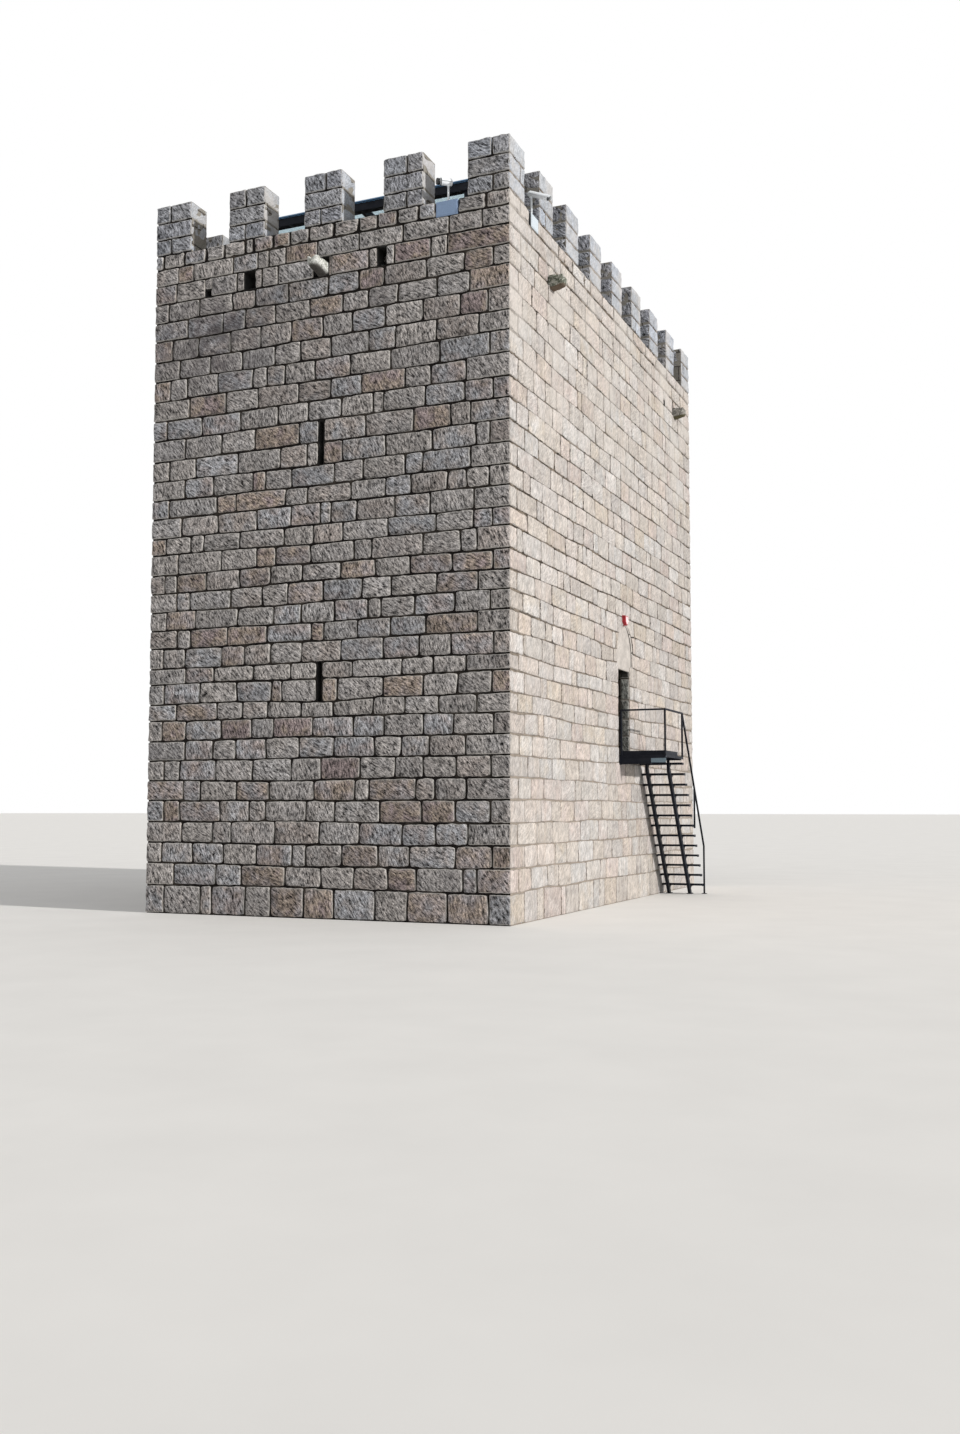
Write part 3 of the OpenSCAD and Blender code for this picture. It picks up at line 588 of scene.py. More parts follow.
class Shade(Nodes):
    """A material's nodes, with the place on the tower and the values that each stone has."""

    def __init__(self, name):
        self.material = bpy.data.materials.new(name)
        self.material.use_nodes = True
        super().__init__(self.material.node_tree)
        self.surface = self.tree.nodes["Principled BSDF"]
        self.place = self.add("TexCoord").outputs["Object"]
        self.x, self.y, self.z = self.add("SeparateXYZ", {0: self.place}).outputs

    def noise(self, scale, detail=3.0, roughness=0.55, vector=None, distortion=0.0):
        made = self.add("TexNoise", {"Vector": vector or self.place, "Scale": scale, "Detail": detail,
                                     "Roughness": roughness, "Distortion": distortion})
        return made.outputs["Fac"]

    def stretched(self, scale, vector=None):
        return self.add("Mapping", {"Vector": vector or self.place, "Scale": scale}).outputs["Vector"]

    def bricks(self, along, up, color, other_color, joint_color, joint, length, height, soft=0.1):
        """Rows of stones or boards."""
        return self.add("TexBrick", {
            "Vector": self.add("CombineXYZ", {0: along, 1: up, 2: 0.0}).outputs[0],
            "Color1": color, "Color2": other_color, "Mortar": joint_color, "Scale": 1.0, "Mortar Size": joint,
            "Mortar Smooth": soft, "Brick Width": length, "Row Height": height}).outputs

    def mix(self, factor, a, b, blend="MIX"):
        made = self.add("Mix", data_type="RGBA", blend_type=blend)
        for number, value in ((0, factor), (6, a), (7, b)):
            self.put(made.inputs[number], value)
        return made.outputs[2]

    def vary(self, color, value, low, high, dark, light):
        """A color made darker and lighter along with a value."""
        factor = self.ranged(value, low, high, dark, light)
        grey = self.add("CombineColor", {0: factor, 1: factor, 2: factor}).outputs[0]
        return self.mix(1.0, color, grey, "MULTIPLY")

    def ramp(self, value, stops):
        made = self.add("ValToRGB", {"Fac": value})
        elements = made.color_ramp.elements
        while len(elements) < len(stops):
            elements.new(0.5)
        for element, (position, color) in zip(elements, stops):
            element.position, element.color = position, (*color, 1.0)
        return made.outputs["Color"]

    def stone_parts(self):
        """A stone's brightness, hue and weathering, and how near its edge a place lies."""
        attribute = self.add("Attribute", attribute_name="stone")
        parts = self.add("SeparateColor", {0: attribute.outputs["Color"]}).outputs
        return parts[0], parts[1], parts[2], attribute.outputs["Alpha"]

    def low_down(self, above, below):
        """One value on the tower's upper part that changes to another towards the ground."""
        return self.ranged(self.z, 2.5, 6.5, below, above)

    def limewash(self):
        """Where the sunny wall's upper part is washed pale, from 0 to 1."""
        cloud = self.ranged(self.noise(0.9, 5.0, 0.65), 0.46, 0.60)
        return self.product(self.ranged(self.z, 8.6, 10.8), cloud)

    def bump(self, height, distance, strength=1.0, under=None):
        made = self.add("Bump", {"Height": height, "Distance": distance, "Strength": strength})
        if under is not None:
            self.put(made.inputs["Normal"], under)
        return made.outputs["Normal"]

    def finish(self, color, roughness=0.9, normal=None, **sockets):
        self.put(self.surface.inputs["Base Color"], color)
        self.put(self.surface.inputs["Roughness"], roughness)
        if normal is not None:
            self.put(self.surface.inputs["Normal"], normal)
        for name, value in sockets.items():
            self.put(self.surface.inputs[name.replace("_", " ")], value)
        return self.material


def damp_stain(m, color, damp):
    """The damp stain under the holes at the front's upper left."""
    beside = m.ranged(m.distance(m.x, DAMP_X), 0.5, 2.0, 1.0, 0.0)
    height = m.ranged(m.distance(m.z, DAMP_Z), 0.3, 1.6, 1.0, 0.0)
    ragged = m.ranged(m.noise(1.7, 5.0, 0.65), 0.38, 0.62)
    return m.mix(m.product(beside, height, ragged, damp), color, (0.105, 0.093, 0.100))


def sunny_weather(m, color, edge, streaks):
    """What the sunny wall's stones have besides: streaks, dark edges of dirt and painted joint shade,
    crumbled edges and limewash.
    """
    color = m.vary(color, m.y, Y0, Y1, 0.99, 0.87)
    for stretch, detail, roughness, low, high, share, run_color in (
            ((9.0, 9.0, 0.7), 4.0, 0.6, 0.50, 0.75, 1.0, (0.62, 0.59, 0.56)),
            ((6.0, 6.0, 0.5), 3.0, 0.6, 0.55, 0.80, 0.6, (0.42, 0.33, 0.24)),
            ((13.0, 13.0, 0.45), 4.0, 0.7, 0.62, 0.74, 1.0, (0.22, 0.18, 0.15))):
        runs = m.noise(1.0, detail, roughness, m.stretched(stretch))
        color = m.mix(m.ranged(runs, low, high, 0, streaks * share), color, run_color)
    # Dark along the edges, partly dirt and partly painted shade of the joints: thick in some places and
    # missing in others, and thinner low down
    patchy = m.ranged(m.noise(3.6, 4.0, 0.7), 0.43, 0.58, 0.18, 1.0)
    dirt = m.product(m.math("POWER", edge, 3.2), patchy, m.low_down(0.95, 0.50))
    color = m.mix(dirt, color, (0.09, 0.068, 0.055))
    # Short dark spots where the mortar has dropped out and the arris has crumbled
    spots = m.product(m.ranged(m.noise(8.0, 3.0, 0.6), 0.57, 0.63), m.ranged(edge, 0.15, 0.6))
    color = m.mix(m.product(spots, m.low_down(1.0, 0.55)), color, (0.03, 0.024, 0.02))
    return m.mix(m.product(m.limewash(), 0.55), color, (0.56, 0.53, 0.50))


def granite(name, palette, contrast, grain, arris_wear_and_highlight, streaks=0.0, stain=0.3, axis=(0, 1, 0), damp=0.0,
            wander=0.10, painted_shade=0.0):
    """Pecked granite: each stone has its own tone and its own slant of tool marks."""
    m = Shade(name)
    tone, hue, weather, edge = m.stone_parts()
    turn = m.ranged(weather, 0, 1, 0.2, 1.1)
    slant = m.add("VectorRotate", {"Vector": m.place, "Axis": axis, "Angle": turn},
                  rotation_type="AXIS_ANGLE")
    pecks = m.noise(31.0, 3.0, 0.65, m.stretched((1.0, 1.0, 0.34), slant.outputs[0]))
    grains = m.noise(66.0, 3.0, 0.75)
    drift = m.ranged(m.noise(2.6, 4.0, 0.6), 0.3, 0.7, -wander, wander)
    color = m.ramp(m.math("ADD", hue, drift), palette)
    color = m.vary(color, tone, 0, 1, 1 - contrast, 1 + contrast)
    color = m.vary(color, m.noise(4.0, 4.0), 0.3, 0.7, 0.84, 1.14)
    color = m.vary(color, pecks, 0.34, 0.64, 1 - 1.5 * grain, 1 + 1.7 * grain)
    color = m.vary(color, grains, 0.32, 0.68, 1 - 1.2 * grain, 1 + 1.2 * grain)
    patch = m.ranged(m.noise(0.8, 5.0, 0.65), 0.54, 0.70)
    color = m.mix(m.product(patch, stain), color, (0.12, 0.11, 0.115))
    if damp:
        color = damp_stain(m, color, damp)
    # Painted shadow of the door's head on the top of the jamb.
    if painted_shade:
        painted_lintel_shadow = m.ranged(m.z, DOOR_HEAD_Z - 0.29, DOOR_HEAD_Z - 0.24, 0.0, painted_shade)
        color = m.mix(painted_lintel_shadow, color, (0.02, 0.018, 0.016))
    if streaks:
        color = sunny_weather(m, color, edge, streaks)
    else:
        # Pale arrises: worn, and on the edges that catch the sun also a painted highlight.
        color = m.mix(m.product(edge, arris_wear_and_highlight), color, (0.55, 0.53, 0.50))
    normal = m.bump(pecks, 0.022, 1.0, m.bump(grains, 0.008, 0.8))
    return m.finish(color, 0.93, normal, Specular_IOR_Level=0.2)


# Middle of the damp stain
DAMP_X = MIDDLE_X - 2.3
DAMP_Z = 11.2
# Shares of the stones, from the commonest greys to the few reddish and ochre ones. Each sunny palette is a
# brighter copy of its shaded one: painted sunlight on the faces that look to the sun, painted shade on the
# others. The merlons' palettes are a cooler grey.
SHADED_PALETTE = ((0.0, (0.274, 0.266, 0.268)), (0.22, (0.280, 0.262, 0.252)), (0.42, (0.264, 0.252, 0.250)),
                  (0.60, (0.268, 0.238, 0.223)), (0.74, (0.266, 0.272, 0.291)), (0.86, (0.254, 0.223, 0.219)),
                  (0.94, (0.248, 0.204, 0.170)), (1.0, (0.225, 0.184, 0.184)))
MERLON_PALETTE = ((0.0, (0.238, 0.250, 0.280)), (0.45, (0.250, 0.252, 0.266)), (0.75, (0.232, 0.240, 0.270)),
                  (1.0, (0.240, 0.232, 0.232)))
SUNNY_MERLON_PALETTE = ((0.0, (0.375, 0.410, 0.470)), (0.50, (0.400, 0.420, 0.450)),
                        (1.0, (0.390, 0.420, 0.475)))
SUNNY_PALETTE = ((0.0, (0.462, 0.438, 0.418)), (0.20, (0.474, 0.430, 0.392)), (0.38, (0.450, 0.426, 0.414)),
                 (0.52, (0.486, 0.434, 0.400)), (0.64, (0.484, 0.472, 0.466)), (0.76, (0.474, 0.420, 0.362)),
                 (0.88, (0.466, 0.404, 0.380)), (1.0, (0.506, 0.488, 0.474)))


def joint_colors(m):
    """The mortar of the sunny wall: dashes of shadow in it, paler low down and under limewash."""
    dash = m.noise(1.0, 4.0, 0.6, m.stretched((3.5, 3.5, 22.0)))
    color = m.mix(m.ranged(dash, 0.40, 0.56), (0.20, 0.165, 0.13), (0.04, 0.032, 0.025))
    color = m.mix(m.low_down(0.0, 0.55), color, (0.42, 0.37, 0.32))
    color = m.mix(m.product(m.limewash(), 0.8), color, (0.44, 0.41, 0.38))
    # The joint round the slab over the door is dark.
    near_y = m.math("LESS_THAN", m.distance(m.y, ARCH_MID + 0.42), 0.34)
    near_z = m.math("LESS_THAN", m.distance(m.z, (arch_lo.z + arch_hi.z) / 2), 0.62)
    return m.mix(m.product(near_y, near_z), color, (0.035, 0.03, 0.026))


def wall_core():
    """The walls behind the stones: near-black joints on the shaded faces, the joints' own dark with painted
    shade over it, pale ones on the sunny face, and coursed masonry inside the rooms."""
    m = Shade("wall_core")
    outside_x = m.math("GREATER_THAN", m.distance(m.x, MIDDLE_X), (X1 - X0) / 2 - 0.004)
    outside_y = m.math("GREATER_THAN", m.math("ABSOLUTE", m.y), Y1 - 0.004)
    sunny = m.product(outside_x, m.math("GREATER_THAN", m.x, MIDDLE_X))
    rubble = m.bricks(m.math("ADD", m.x, m.y), m.z, (0.30, 0.28, 0.25), (0.22, 0.21, 0.19),
                      (0.10, 0.09, 0.08), 0.018, 0.7, 0.38, 0.3)
    grains = m.noise(28.0, 5.0, 0.65)
    inner = m.vary(rubble["Color"], grains, 0.3, 0.7, 0.7, 1.25)
    # The shaded faces' joints: near black, the joints' own dark with painted shade over it.
    dark = m.mix(m.ranged(m.noise(3.0), 0.5, 0.75), (0.012, 0.010, 0.009), (0.07, 0.06, 0.05))
    outer = m.mix(sunny, dark, joint_colors(m))
    height = m.math("ADD", m.product(rubble["Fac"], -1.0), m.product(grains, 0.6))
    color = m.mix(m.math("MAXIMUM", outside_x, outside_y), inner, outer)
    return m.finish(color, 0.95, m.bump(height, 0.02, 0.8), Specular_IOR_Level=0.15)


def painted_steel(name, color, roughness, wear, shine=0.35):
    """Painted steel: a slightly uneven coat with fine orange peel and dull, dusty patches."""
    m = Shade(name)
    dust = m.ranged(m.noise(3.0, 5.0, 0.6), 0.45, 0.75)
    base = m.mix(m.product(dust, wear), color, [min(1, 0.12 + 1.5 * c) for c in color])
    base = m.vary(base, m.noise(40.0, 3.0), 0.3, 0.7, 0.9, 1.1)
    gloss = m.ranged(m.noise(9.0, 4.0), 0.3, 0.7, roughness - 0.08, roughness + 0.12)
    return m.finish(base, gloss, m.bump(m.noise(220.0, 2.0), 0.0006, 0.5), Specular_IOR_Level=shine)


def boards():
    """Oak boards across the tower, with grain and dark gaps between them."""
    m = Shade("boards")
    plank = m.bricks(m.x, m.y, (0.24, 0.16, 0.10), (0.16, 0.11, 0.07), (0.02, 0.016, 0.012), 0.006, 2.6, 0.18)
    grain = m.noise(1.0, 6.0, 0.6, m.stretched((2.5, 60.0, 20.0)), 0.4)
    height = m.math("SUBTRACT", m.product(grain, 0.3), plank["Fac"])
    return m.finish(m.vary(plank["Color"], grain, 0.3, 0.7, 0.65, 1.3), 0.6, m.bump(height, 0.004, 0.8))


def glass():
    """Laminated glass with a pale blue tint and a little dirt."""
    m = Shade("canopy_glass")
    dirt = m.ranged(m.noise(2.0, 5.0, 0.6), 0.4, 0.8, 0.04, 0.22)
    color = m.mix(m.ranged(m.noise(0.7, 3.0), 0.3, 0.8), (0.70, 0.86, 0.93), (0.62, 0.80, 0.88))
    return m.finish(color, dirt, None, Transmission_Weight=0.8, IOR=1.45)


def spout_stone(name, worn, lichen_color, lichen_share, underside_shade):
    """Spout stone: worn granite under lichen, its underside in painted shade, warm brown on the mossy stone
    for the light that the sunny wall throws up.
    """
    m = Shade(name)
    lichen = m.ranged(m.noise(9.0, 5.0, 0.65), 0.56 - lichen_share / 3, 0.66 - lichen_share / 3)
    spots = m.ranged(m.noise(22.0, 4.0, 0.7), 0.52, 0.60)
    color = m.mix(lichen, worn, lichen_color)
    color = m.mix(m.product(spots, 0.55), color, (0.56, 0.57, 0.52))
    color = m.vary(color, m.noise(38.0, 4.0, 0.7), 0.3, 0.7, 0.35, 1.7)
    looks_up = m.add("SeparateXYZ", {0: m.add("NewGeometry").outputs["Normal"]}).outputs[2]
    # Painted shade on the faces that look down.
    color = m.mix(m.ranged(looks_up, -0.75, -0.15, 0.95, 0.0), color, underside_shade)
    return m.finish(color, 0.93, m.bump(m.noise(32.0, 5.0, 0.65), 0.012, 0.9), Specular_IOR_Level=0.2)


def plastic(name, color, roughness):
    m = Shade(name)
    color = m.vary(color, m.noise(12.0, 3.0), 0.3, 0.7, 0.92, 1.06)
    gloss = m.ranged(m.noise(30.0), 0.3, 0.7, roughness - 0.05, roughness + 0.1)
    return m.finish(color, gloss, m.bump(m.noise(300.0), 0.0004, 0.4))


# The shaded and sunny stones, and the merlons' two, are shaded and lit copies of one granite each: painted
# shade and painted sunlight.
SHADED_STONE = granite("granite", SHADED_PALETTE, 0.14, 0.67, 0.78, damp=0.85)
MERLON_STONE = granite("merlon_granite", MERLON_PALETTE, 0.10, 0.66, 0.72)
SUNNY_MERLON = granite("sunny_merlon_granite", SUNNY_MERLON_PALETTE, 0.08, 0.17, 0.10, streaks=0.3,
                       stain=0.08, axis=(1, 0, 0), wander=0.06)
SUNNY_STONE = granite("pale_granite", SUNNY_PALETTE, 0.10, 0.19, 0.10, streaks=0.5, stain=0.05,
                      axis=(1, 0, 0), wander=0.06)
# The jambs' top stones lie in the painted shadow of the door's head.
JAMB_STONE = granite("jamb_granite", ((0.0, (0.15, 0.155, 0.145)), (1.0, (0.27, 0.27, 0.25))), 0.35, 0.55,
                     0.45, painted_shade=0.93)
PAVING_STONE = granite("paving", ((0.0, (0.42, 0.39, 0.35)), (1.0, (0.36, 0.34, 0.31))), 0.15, 0.2, 0.1,
                       axis=(0, 0, 1))
SLAB_STONE = granite("slab_granite", ((0.0, (0.50, 0.465, 0.435)), (1.0, (0.48, 0.45, 0.42))), 0.05, 0.09,
                     0.0, stain=0.05, axis=(1, 0, 0))
CORE = wall_core()
# Near black, for the sides of the stones round the door's slab, as dark as the joint they stand in.
CORE_DARK = painted_steel("dark_joint_sides", (0.03, 0.026, 0.022), 0.9, 0.3)
# Near black: painted shade inside the holes and slits.
SHADE_BLACK = painted_steel("painted_shade", (0.012, 0.011, 0.010), 0.95, 0.3)
STEEL = painted_steel("dark_steel", (0.006, 0.008, 0.014), 0.55, 0.06, 0.15)
GALVANISED = painted_steel("grey_paint", (0.13, 0.19, 0.235), 0.35, 0.3)
WHITE_PAINT = painted_steel("white_paint", (0.84, 0.88, 0.92), 0.35, 0.15)
BOX_PAINT = painted_steel("box_paint", (0.224, 0.314, 0.475), 0.45, 0.15)
LID_PAINT = painted_steel("lid_paint", (0.51, 0.57, 0.62), 0.45, 0.1)
# The side box's body: near black, painted shade in the gap beside its lid.
BOX_SHADE = painted_steel("box_body_painted_shade", (0.05, 0.055, 0.06), 0.6, 0.1)
# Light blue: the painted reflection of the sky on the glass's edge.
BLUE_TRIM = painted_steel("blue_trim", (0.11, 0.26, 0.47), 0.25, 0.1)
SIREN_RED = plastic("siren_red", (0.36, 0.015, 0.025), 0.3)
LENS_BLACK = plastic("lens_black", (0.01, 0.012, 0.014), 0.12)
PALE_LENS = plastic("pale_lens", (0.85, 0.62, 0.64), 0.25)
# Each spout's last colour is its underside's painted shade.
MOSSY = spout_stone("mossy_granite", (0.28, 0.28, 0.245), (0.10, 0.11, 0.085), 0.5, (0.13, 0.095, 0.07))
GREY_SPOUT = spout_stone("grey_spout", (0.25, 0.236, 0.218), (0.11, 0.105, 0.092), 0.3, (0.09, 0.08, 0.04))
PALE_SPOUT = spout_stone("pale_spout", (0.60, 0.61, 0.59), (0.29, 0.30, 0.27), 0.2, (0.045, 0.04, 0.036))
BOARDS = boards()
GLASS = glass()


# Walls
COURSES = range(len(BED_JOINTS) - 1)
RUNS = ((X0, X1), (Y0, Y1))


def quoin_reach(number):
    """How far a course's corner stone reaches along the front and along the side."""
    chance = np.random.default_rng(900 + number)
    long, short = chance.uniform(0.55, 0.85), chance.uniform(0.30, 0.42)
    return (long, short) if number % 2 else (short, long)


def row_ends(face, number):
    """Where a course starts and ends on a face, between its corner stones."""
    reach = quoin_reach(number)[face.axis]
    return RUNS[face.axis][0] + reach, RUNS[face.axis][1] - reach


def corner_place(x_side, y_side):
    """Where the bare walls meet at a corner."""
    return (X1 if x_side > 0 else X0), (Y1 if y_side > 0 else Y0)


def quoins(x_side, y_side, seed):
    """Corner stones, each one block that shows on two faces."""
    blocks = Blocks()
    face = FRONT if y_side < 0 else BACK
    x, y = corner_place(x_side, y_side)
    proud_x = PROUD_SUNNY if x_side > 0 else PROUD
    half_gap = JOINT_GAP / 2
    for number in COURSES:
        along_x, along_y = quoin_reach(number)
        top = float(bed_line(face, number, x)) - half_gap
        bottom = float(bed_line(face, number + 1, x)) + half_gap
        blocks.add((x + x_side * proud_x, y + y_side * PROUD, bottom),
                   (x - x_side * (along_x - half_gap), y - y_side * (along_y - half_gap), top))
    return blocks.arrays(seed, inner=(6, 6, 4))


def two_sided(name, arrays, shaded, sunny):
    """One mesh with two stone materials: the sunny one, a copy in painted sunlight, on faces that look to +X.
    """
    verts, faces, tones = arrays
    thing = mesh_object(name, verts, faces.tolist(), shaded, tones)
    p = verts[faces]
    normal = np.cross(p[:, 1] - p[:, 0], p[:, 3] - p[:, 0])
    add_second(thing, sunny, normal[:, 0] / np.maximum(np.linalg.norm(normal, axis=1), 1e-12) > 0.6)


def build_walls():
    slit = (MIDDLE_X - SLIT_HALF, MIDDLE_X + SLIT_HALF)
    upper, lower = (*slit, *UPPER_SLIT, 0), (*slit, *LOWER_SLIT, 0)
    door = (DOOR_Y0, DOOR_Y1, SILL_Z, DOOR_HEAD_Z, 0)
    arch = (ARCH_MID, ARCH_MID, DOOR_HEAD_Z, arch_hi.z, 1)
    straight = [(y - 0.009, y + 0.009, z0, z1, 0) for y, z0, z1 in STRAIGHT_JOINTS]
    # The sunny face's stones take the copy in painted sunlight.
    layout = (
        ("front", FRONT, (upper, lower), SHADED_STONE, "granite"),
        ("back", BACK, (upper,), SHADED_STONE, "granite"),
        ("left", LEFT, (), SHADED_STONE, "granite"),
        ("right", RIGHT, sorted([door, arch, *straight]), SUNNY_STONE, "pale_granite"),
    )
    for seed, (name, face, cuts, material, slot) in enumerate(layout, 21):
        rows = lay_face(face, cuts, seed)
        upper_half = rows[:, 4] > rows[:, 4].mean()
        for part, chosen, step in (("upper", upper_half, 1), ("lower", ~upper_half, 0)):
            verts, faces, tones = face_arrays(face, rows[chosen], seed * 10 + step)
            mesh_object(f"{name}_stones_{part}", verts, faces, material, tones)
    for y_side, end in ((-1, "front"), (1, "back")):
        for x_side, side in ((1, "right"), (-1, "left")):
            arrays = quoins(x_side, y_side, 40 + x_side + 3 * y_side)
            two_sided(f"{end}_{side}_quoins", arrays, SHADED_STONE, SUNNY_STONE)


# Parapets and merlons
SOCKET_HALF = 0.20
WIDE_HOLE = (MIDDLE_X - 1.625, 0.135)
NARROW_HOLE = (MIDDLE_X + 1.265, 0.10)
DRAIN_HALF = 0.075
DRAIN_HOLE = (MIDDLE_X - 2.585, DRAIN_HALF)
DRAIN_H = 0.15
BACK_HOLES = ((MIDDLE_X - 1.625, 0.10), (MIDDLE_X + 1.625, 0.10))
RIGHT_DRAIN = (FAR_SPOUT_Y - 0.96, DRAIN_HALF)
LEFT_DRAIN = ((Y0 + Y1) / 2, DRAIN_HALF)
FRONT_RECESS_GAP = 0.025
SIDE_RECESS_GAP = 0.10
RECESS_DEPTH = 0.12
INSIDE_PROUD = 0.010
TOP_PROUD = 0.010
PARAPET_STONE_W = 0.66
TOP_STONE_W = 0.42
SIDE_STONE_W = 0.85
MERLON_GROW = 0.004
# Depth of the parapet's stones behind its bare outer face, and the top of its uppermost stones
THICK = PARAPET_T + INSIDE_PROUD
CAP_TOP_Z = PARAPET_JOINTS[0] + TOP_PROUD + JOINT_GAP / 2


def parapet_row(blocks, axis, ends, across, heights, cuts, chance, mean, gap=JOINT_GAP):
    """One course of full-thickness stones along a parapet, with gaps left at the cuts. The
    lookout holes have a narrow stone on each side."""
    cuts = sorted(cuts)
    starts = [ends[0]] + [middle + half for middle, half in cuts]
    stops = [middle - half for middle, half in cuts] + [ends[1]]
    lined = [0, *(DRAIN_HALF < half < SOCKET_HALF for middle, half in cuts), 0]
    for k, (start, stop) in enumerate(zip(starts, stops)):
        liners = [chance.uniform(0.14, 0.18) * lined[k + side] for side in (0, 1)]
        edges = list(split_stretch(start + liners[0], stop - liners[1], [], chance, mean))
        edges = [start] * (liners[0] > 0) + edges + [stop] * (liners[1] > 0)
        for m in range(len(edges) - 1):
            u0 = edges[m] + (gap / 2 if m else 0)
            u1 = edges[m + 1] - (gap / 2 if m < len(edges) - 2 else 0)
            nudge = chance.uniform(-0.004, 0.004, 3)
            blocks.add(on_axis(axis, u0, across[0] + nudge[0], heights[0] + gap / 2 + nudge[1]),
                       on_axis(axis, u1, across[1] + nudge[0], heights[1] - gap / 2 + nudge[2]))


def parapet_sides():
    """Each parapet's name, axis, run and thickness range, the cuts of its top course and of its
    bottom course, each as middle and half width, and its drains."""
    spout = (MIDDLE_X, SOCKET_HALF)
    front_box = ((front_box_lo.x + front_box_hi.x) / 2,
                 (front_box_hi.x - front_box_lo.x) / 2 + FRONT_RECESS_GAP)
    recess_start, recess_end = side_box_lo.y - SIDE_RECESS_GAP, side_box_hi.y
    side_box = ((recess_start + recess_end) / 2, (recess_end - recess_start) / 2)
    sockets = [(NEAR_SPOUT_Y, SOCKET_HALF), (FAR_SPOUT_Y, SOCKET_HALF)]
    x_run, y_run = (X0 - PROUD, X1 + PROUD_SUNNY), (Y0 - PROUD, Y1 + PROUD)
    return (
        ("front", 0, x_run, (Y0 - PROUD, Y0 + THICK), [front_box], [spout, WIDE_HOLE, NARROW_HOLE],
         [DRAIN_HOLE]),
        ("back", 0, x_run, (Y1 - THICK, Y1 + PROUD), [], [spout, *BACK_HOLES], []),
        ("right", 1, y_run, (X1 - THICK, X1 + PROUD_SUNNY), [side_box], sockets, [RIGHT_DRAIN]),
        ("left", 1, y_run, (X0 - PROUD, X0 + THICK), [], sockets, [LEFT_DRAIN]),
    )


def build_parapets():
    top, upper, lower, foot = PARAPET_JOINTS
    courses = ((upper, CAP_TOP_Z), (lower, upper), (foot, lower))
    for seed, (name, axis, run, across, top_cuts, hole_cuts, drains) in enumerate(parapet_sides()):
        chance = np.random.default_rng(300 + seed)
        blocks, caps = Blocks(), Blocks()
        cap_look = (SIDE_STONE_W, JOINT_GAP) if axis else (TOP_STONE_W, TOP_GAP)
        mean = SIDE_STONE_W if axis else PARAPET_STONE_W
        for course, heights in enumerate(courses):
            # The corner stones belong to the ends in one course and to the sides in the next.
            own_corner = (course % 2 == 0) == (axis == 0)
            inset = 0 if own_corner else THICK + JOINT_GAP + (PROUD if axis else PROUD_SUNNY)
            ends = (run[0] + inset, run[1] - inset)
            cuts = (top_cuts, [], hole_cuts + drains)[course]
            stones, look = (blocks, (mean,)) if course else (caps, cap_look)
            parapet_row(stones, axis, ends, across, heights, cuts, chance, *look)
        for middle, half in drains:
            over_drain = (foot + DRAIN_H, lower)
            parapet_row(blocks, axis, (middle - half, middle + half), across, over_drain, [], chance, 1.0)
        for middle, half in top_cuts:
            # Behind a camera's box the stone is only as deep as the recess leaves it.
            depth = (across[0], X1 - RECESS_DEPTH) if axis else (across[0] + PROUD + RECESS_DEPTH, across[1])
            parapet_row(blocks, axis, (middle - half, middle + half), depth, courses[0], [], chance, 1.0)
        arrays = blocks.arrays(310 + seed, inner=(4, 4, 4), relief=RELIEF * 1.2)
        two_sided(f"{name}_parapet_stones", arrays, SHADED_STONE, SUNNY_STONE)
        arrays = caps.arrays(320 + seed, radius=ARRIS * 1.5, inner=(4, 4, 4), relief=RELIEF * 1.4, wear=0.7)
        two_sided(f"{name}_parapet_caps", arrays, SHADED_STONE, SUNNY_STONE)


def loose_boxes(node):
    """The boxes of a node's solids: its mesh's faces joined where their corners meet."""
    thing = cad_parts[node]
    corners, parent = {}, []

    def find(i):
        while parent[i] != i:
            parent[i] = parent[parent[i]]
            i = parent[i]
        return i

    for face in thing.data.polygons:
        ring = []
        for number in face.vertices:
            place = thing.matrix_world @ thing.data.vertices[number].co
            key = tuple(round(c, 4) for c in place)
            if key not in corners:
                corners[key] = len(parent)
                parent.append(len(parent))
            ring.append(corners[key])
        for number in ring[1:]:
            parent[find(number)] = find(ring[0])
    groups = {}
    for key, number in corners.items():
        groups.setdefault(find(number), []).append(key)
    boxes = [(np.min(points, 0), np.max(points, 0)) for points in groups.values()]
    return sorted(boxes, key=lambda box: tuple(box[0]))


def merlon_courses():
    """Number, bottom and top of a merlon's three courses, from the top down."""
    half_gap = JOINT_GAP / 2
    for course in range(3):
        top = MERLON_JOINTS[course] + (-half_gap if course else TOP_PROUD)
        bottom = MERLON_JOINTS[course + 1] + (JOINT_GAP if course == 2 else half_gap)
        yield course, bottom, top


def merlon_stones(blocks, low, high, axis, out, chance):
    """The stones of one straight merlon: mostly two, one and two, from the top down. Those on
    the long sides are mostly one stone in each course."""
    half_gap, other = JOINT_GAP / 2, 1 - axis
    start, stop = low[axis] - MERLON_GROW, high[axis] + MERLON_GROW
    for course, bottom, top in merlon_courses():
        cut = low[axis] + (high[axis] - low[axis]) * chance.uniform(0.44, 0.60)
        spans = [(start, stop)]
        if course != 1 and (axis == 0 or chance.random() < 0.3):
            spans = [(start, cut - half_gap), (cut + half_gap, stop)]
        for first, last in spans:
            nudge = chance.uniform(-0.005, 0.005)
            blocks.add(on_axis(axis, first, low[other] - out[0] + nudge, bottom),
                       on_axis(axis, last, high[other] + out[1] + nudge, top))


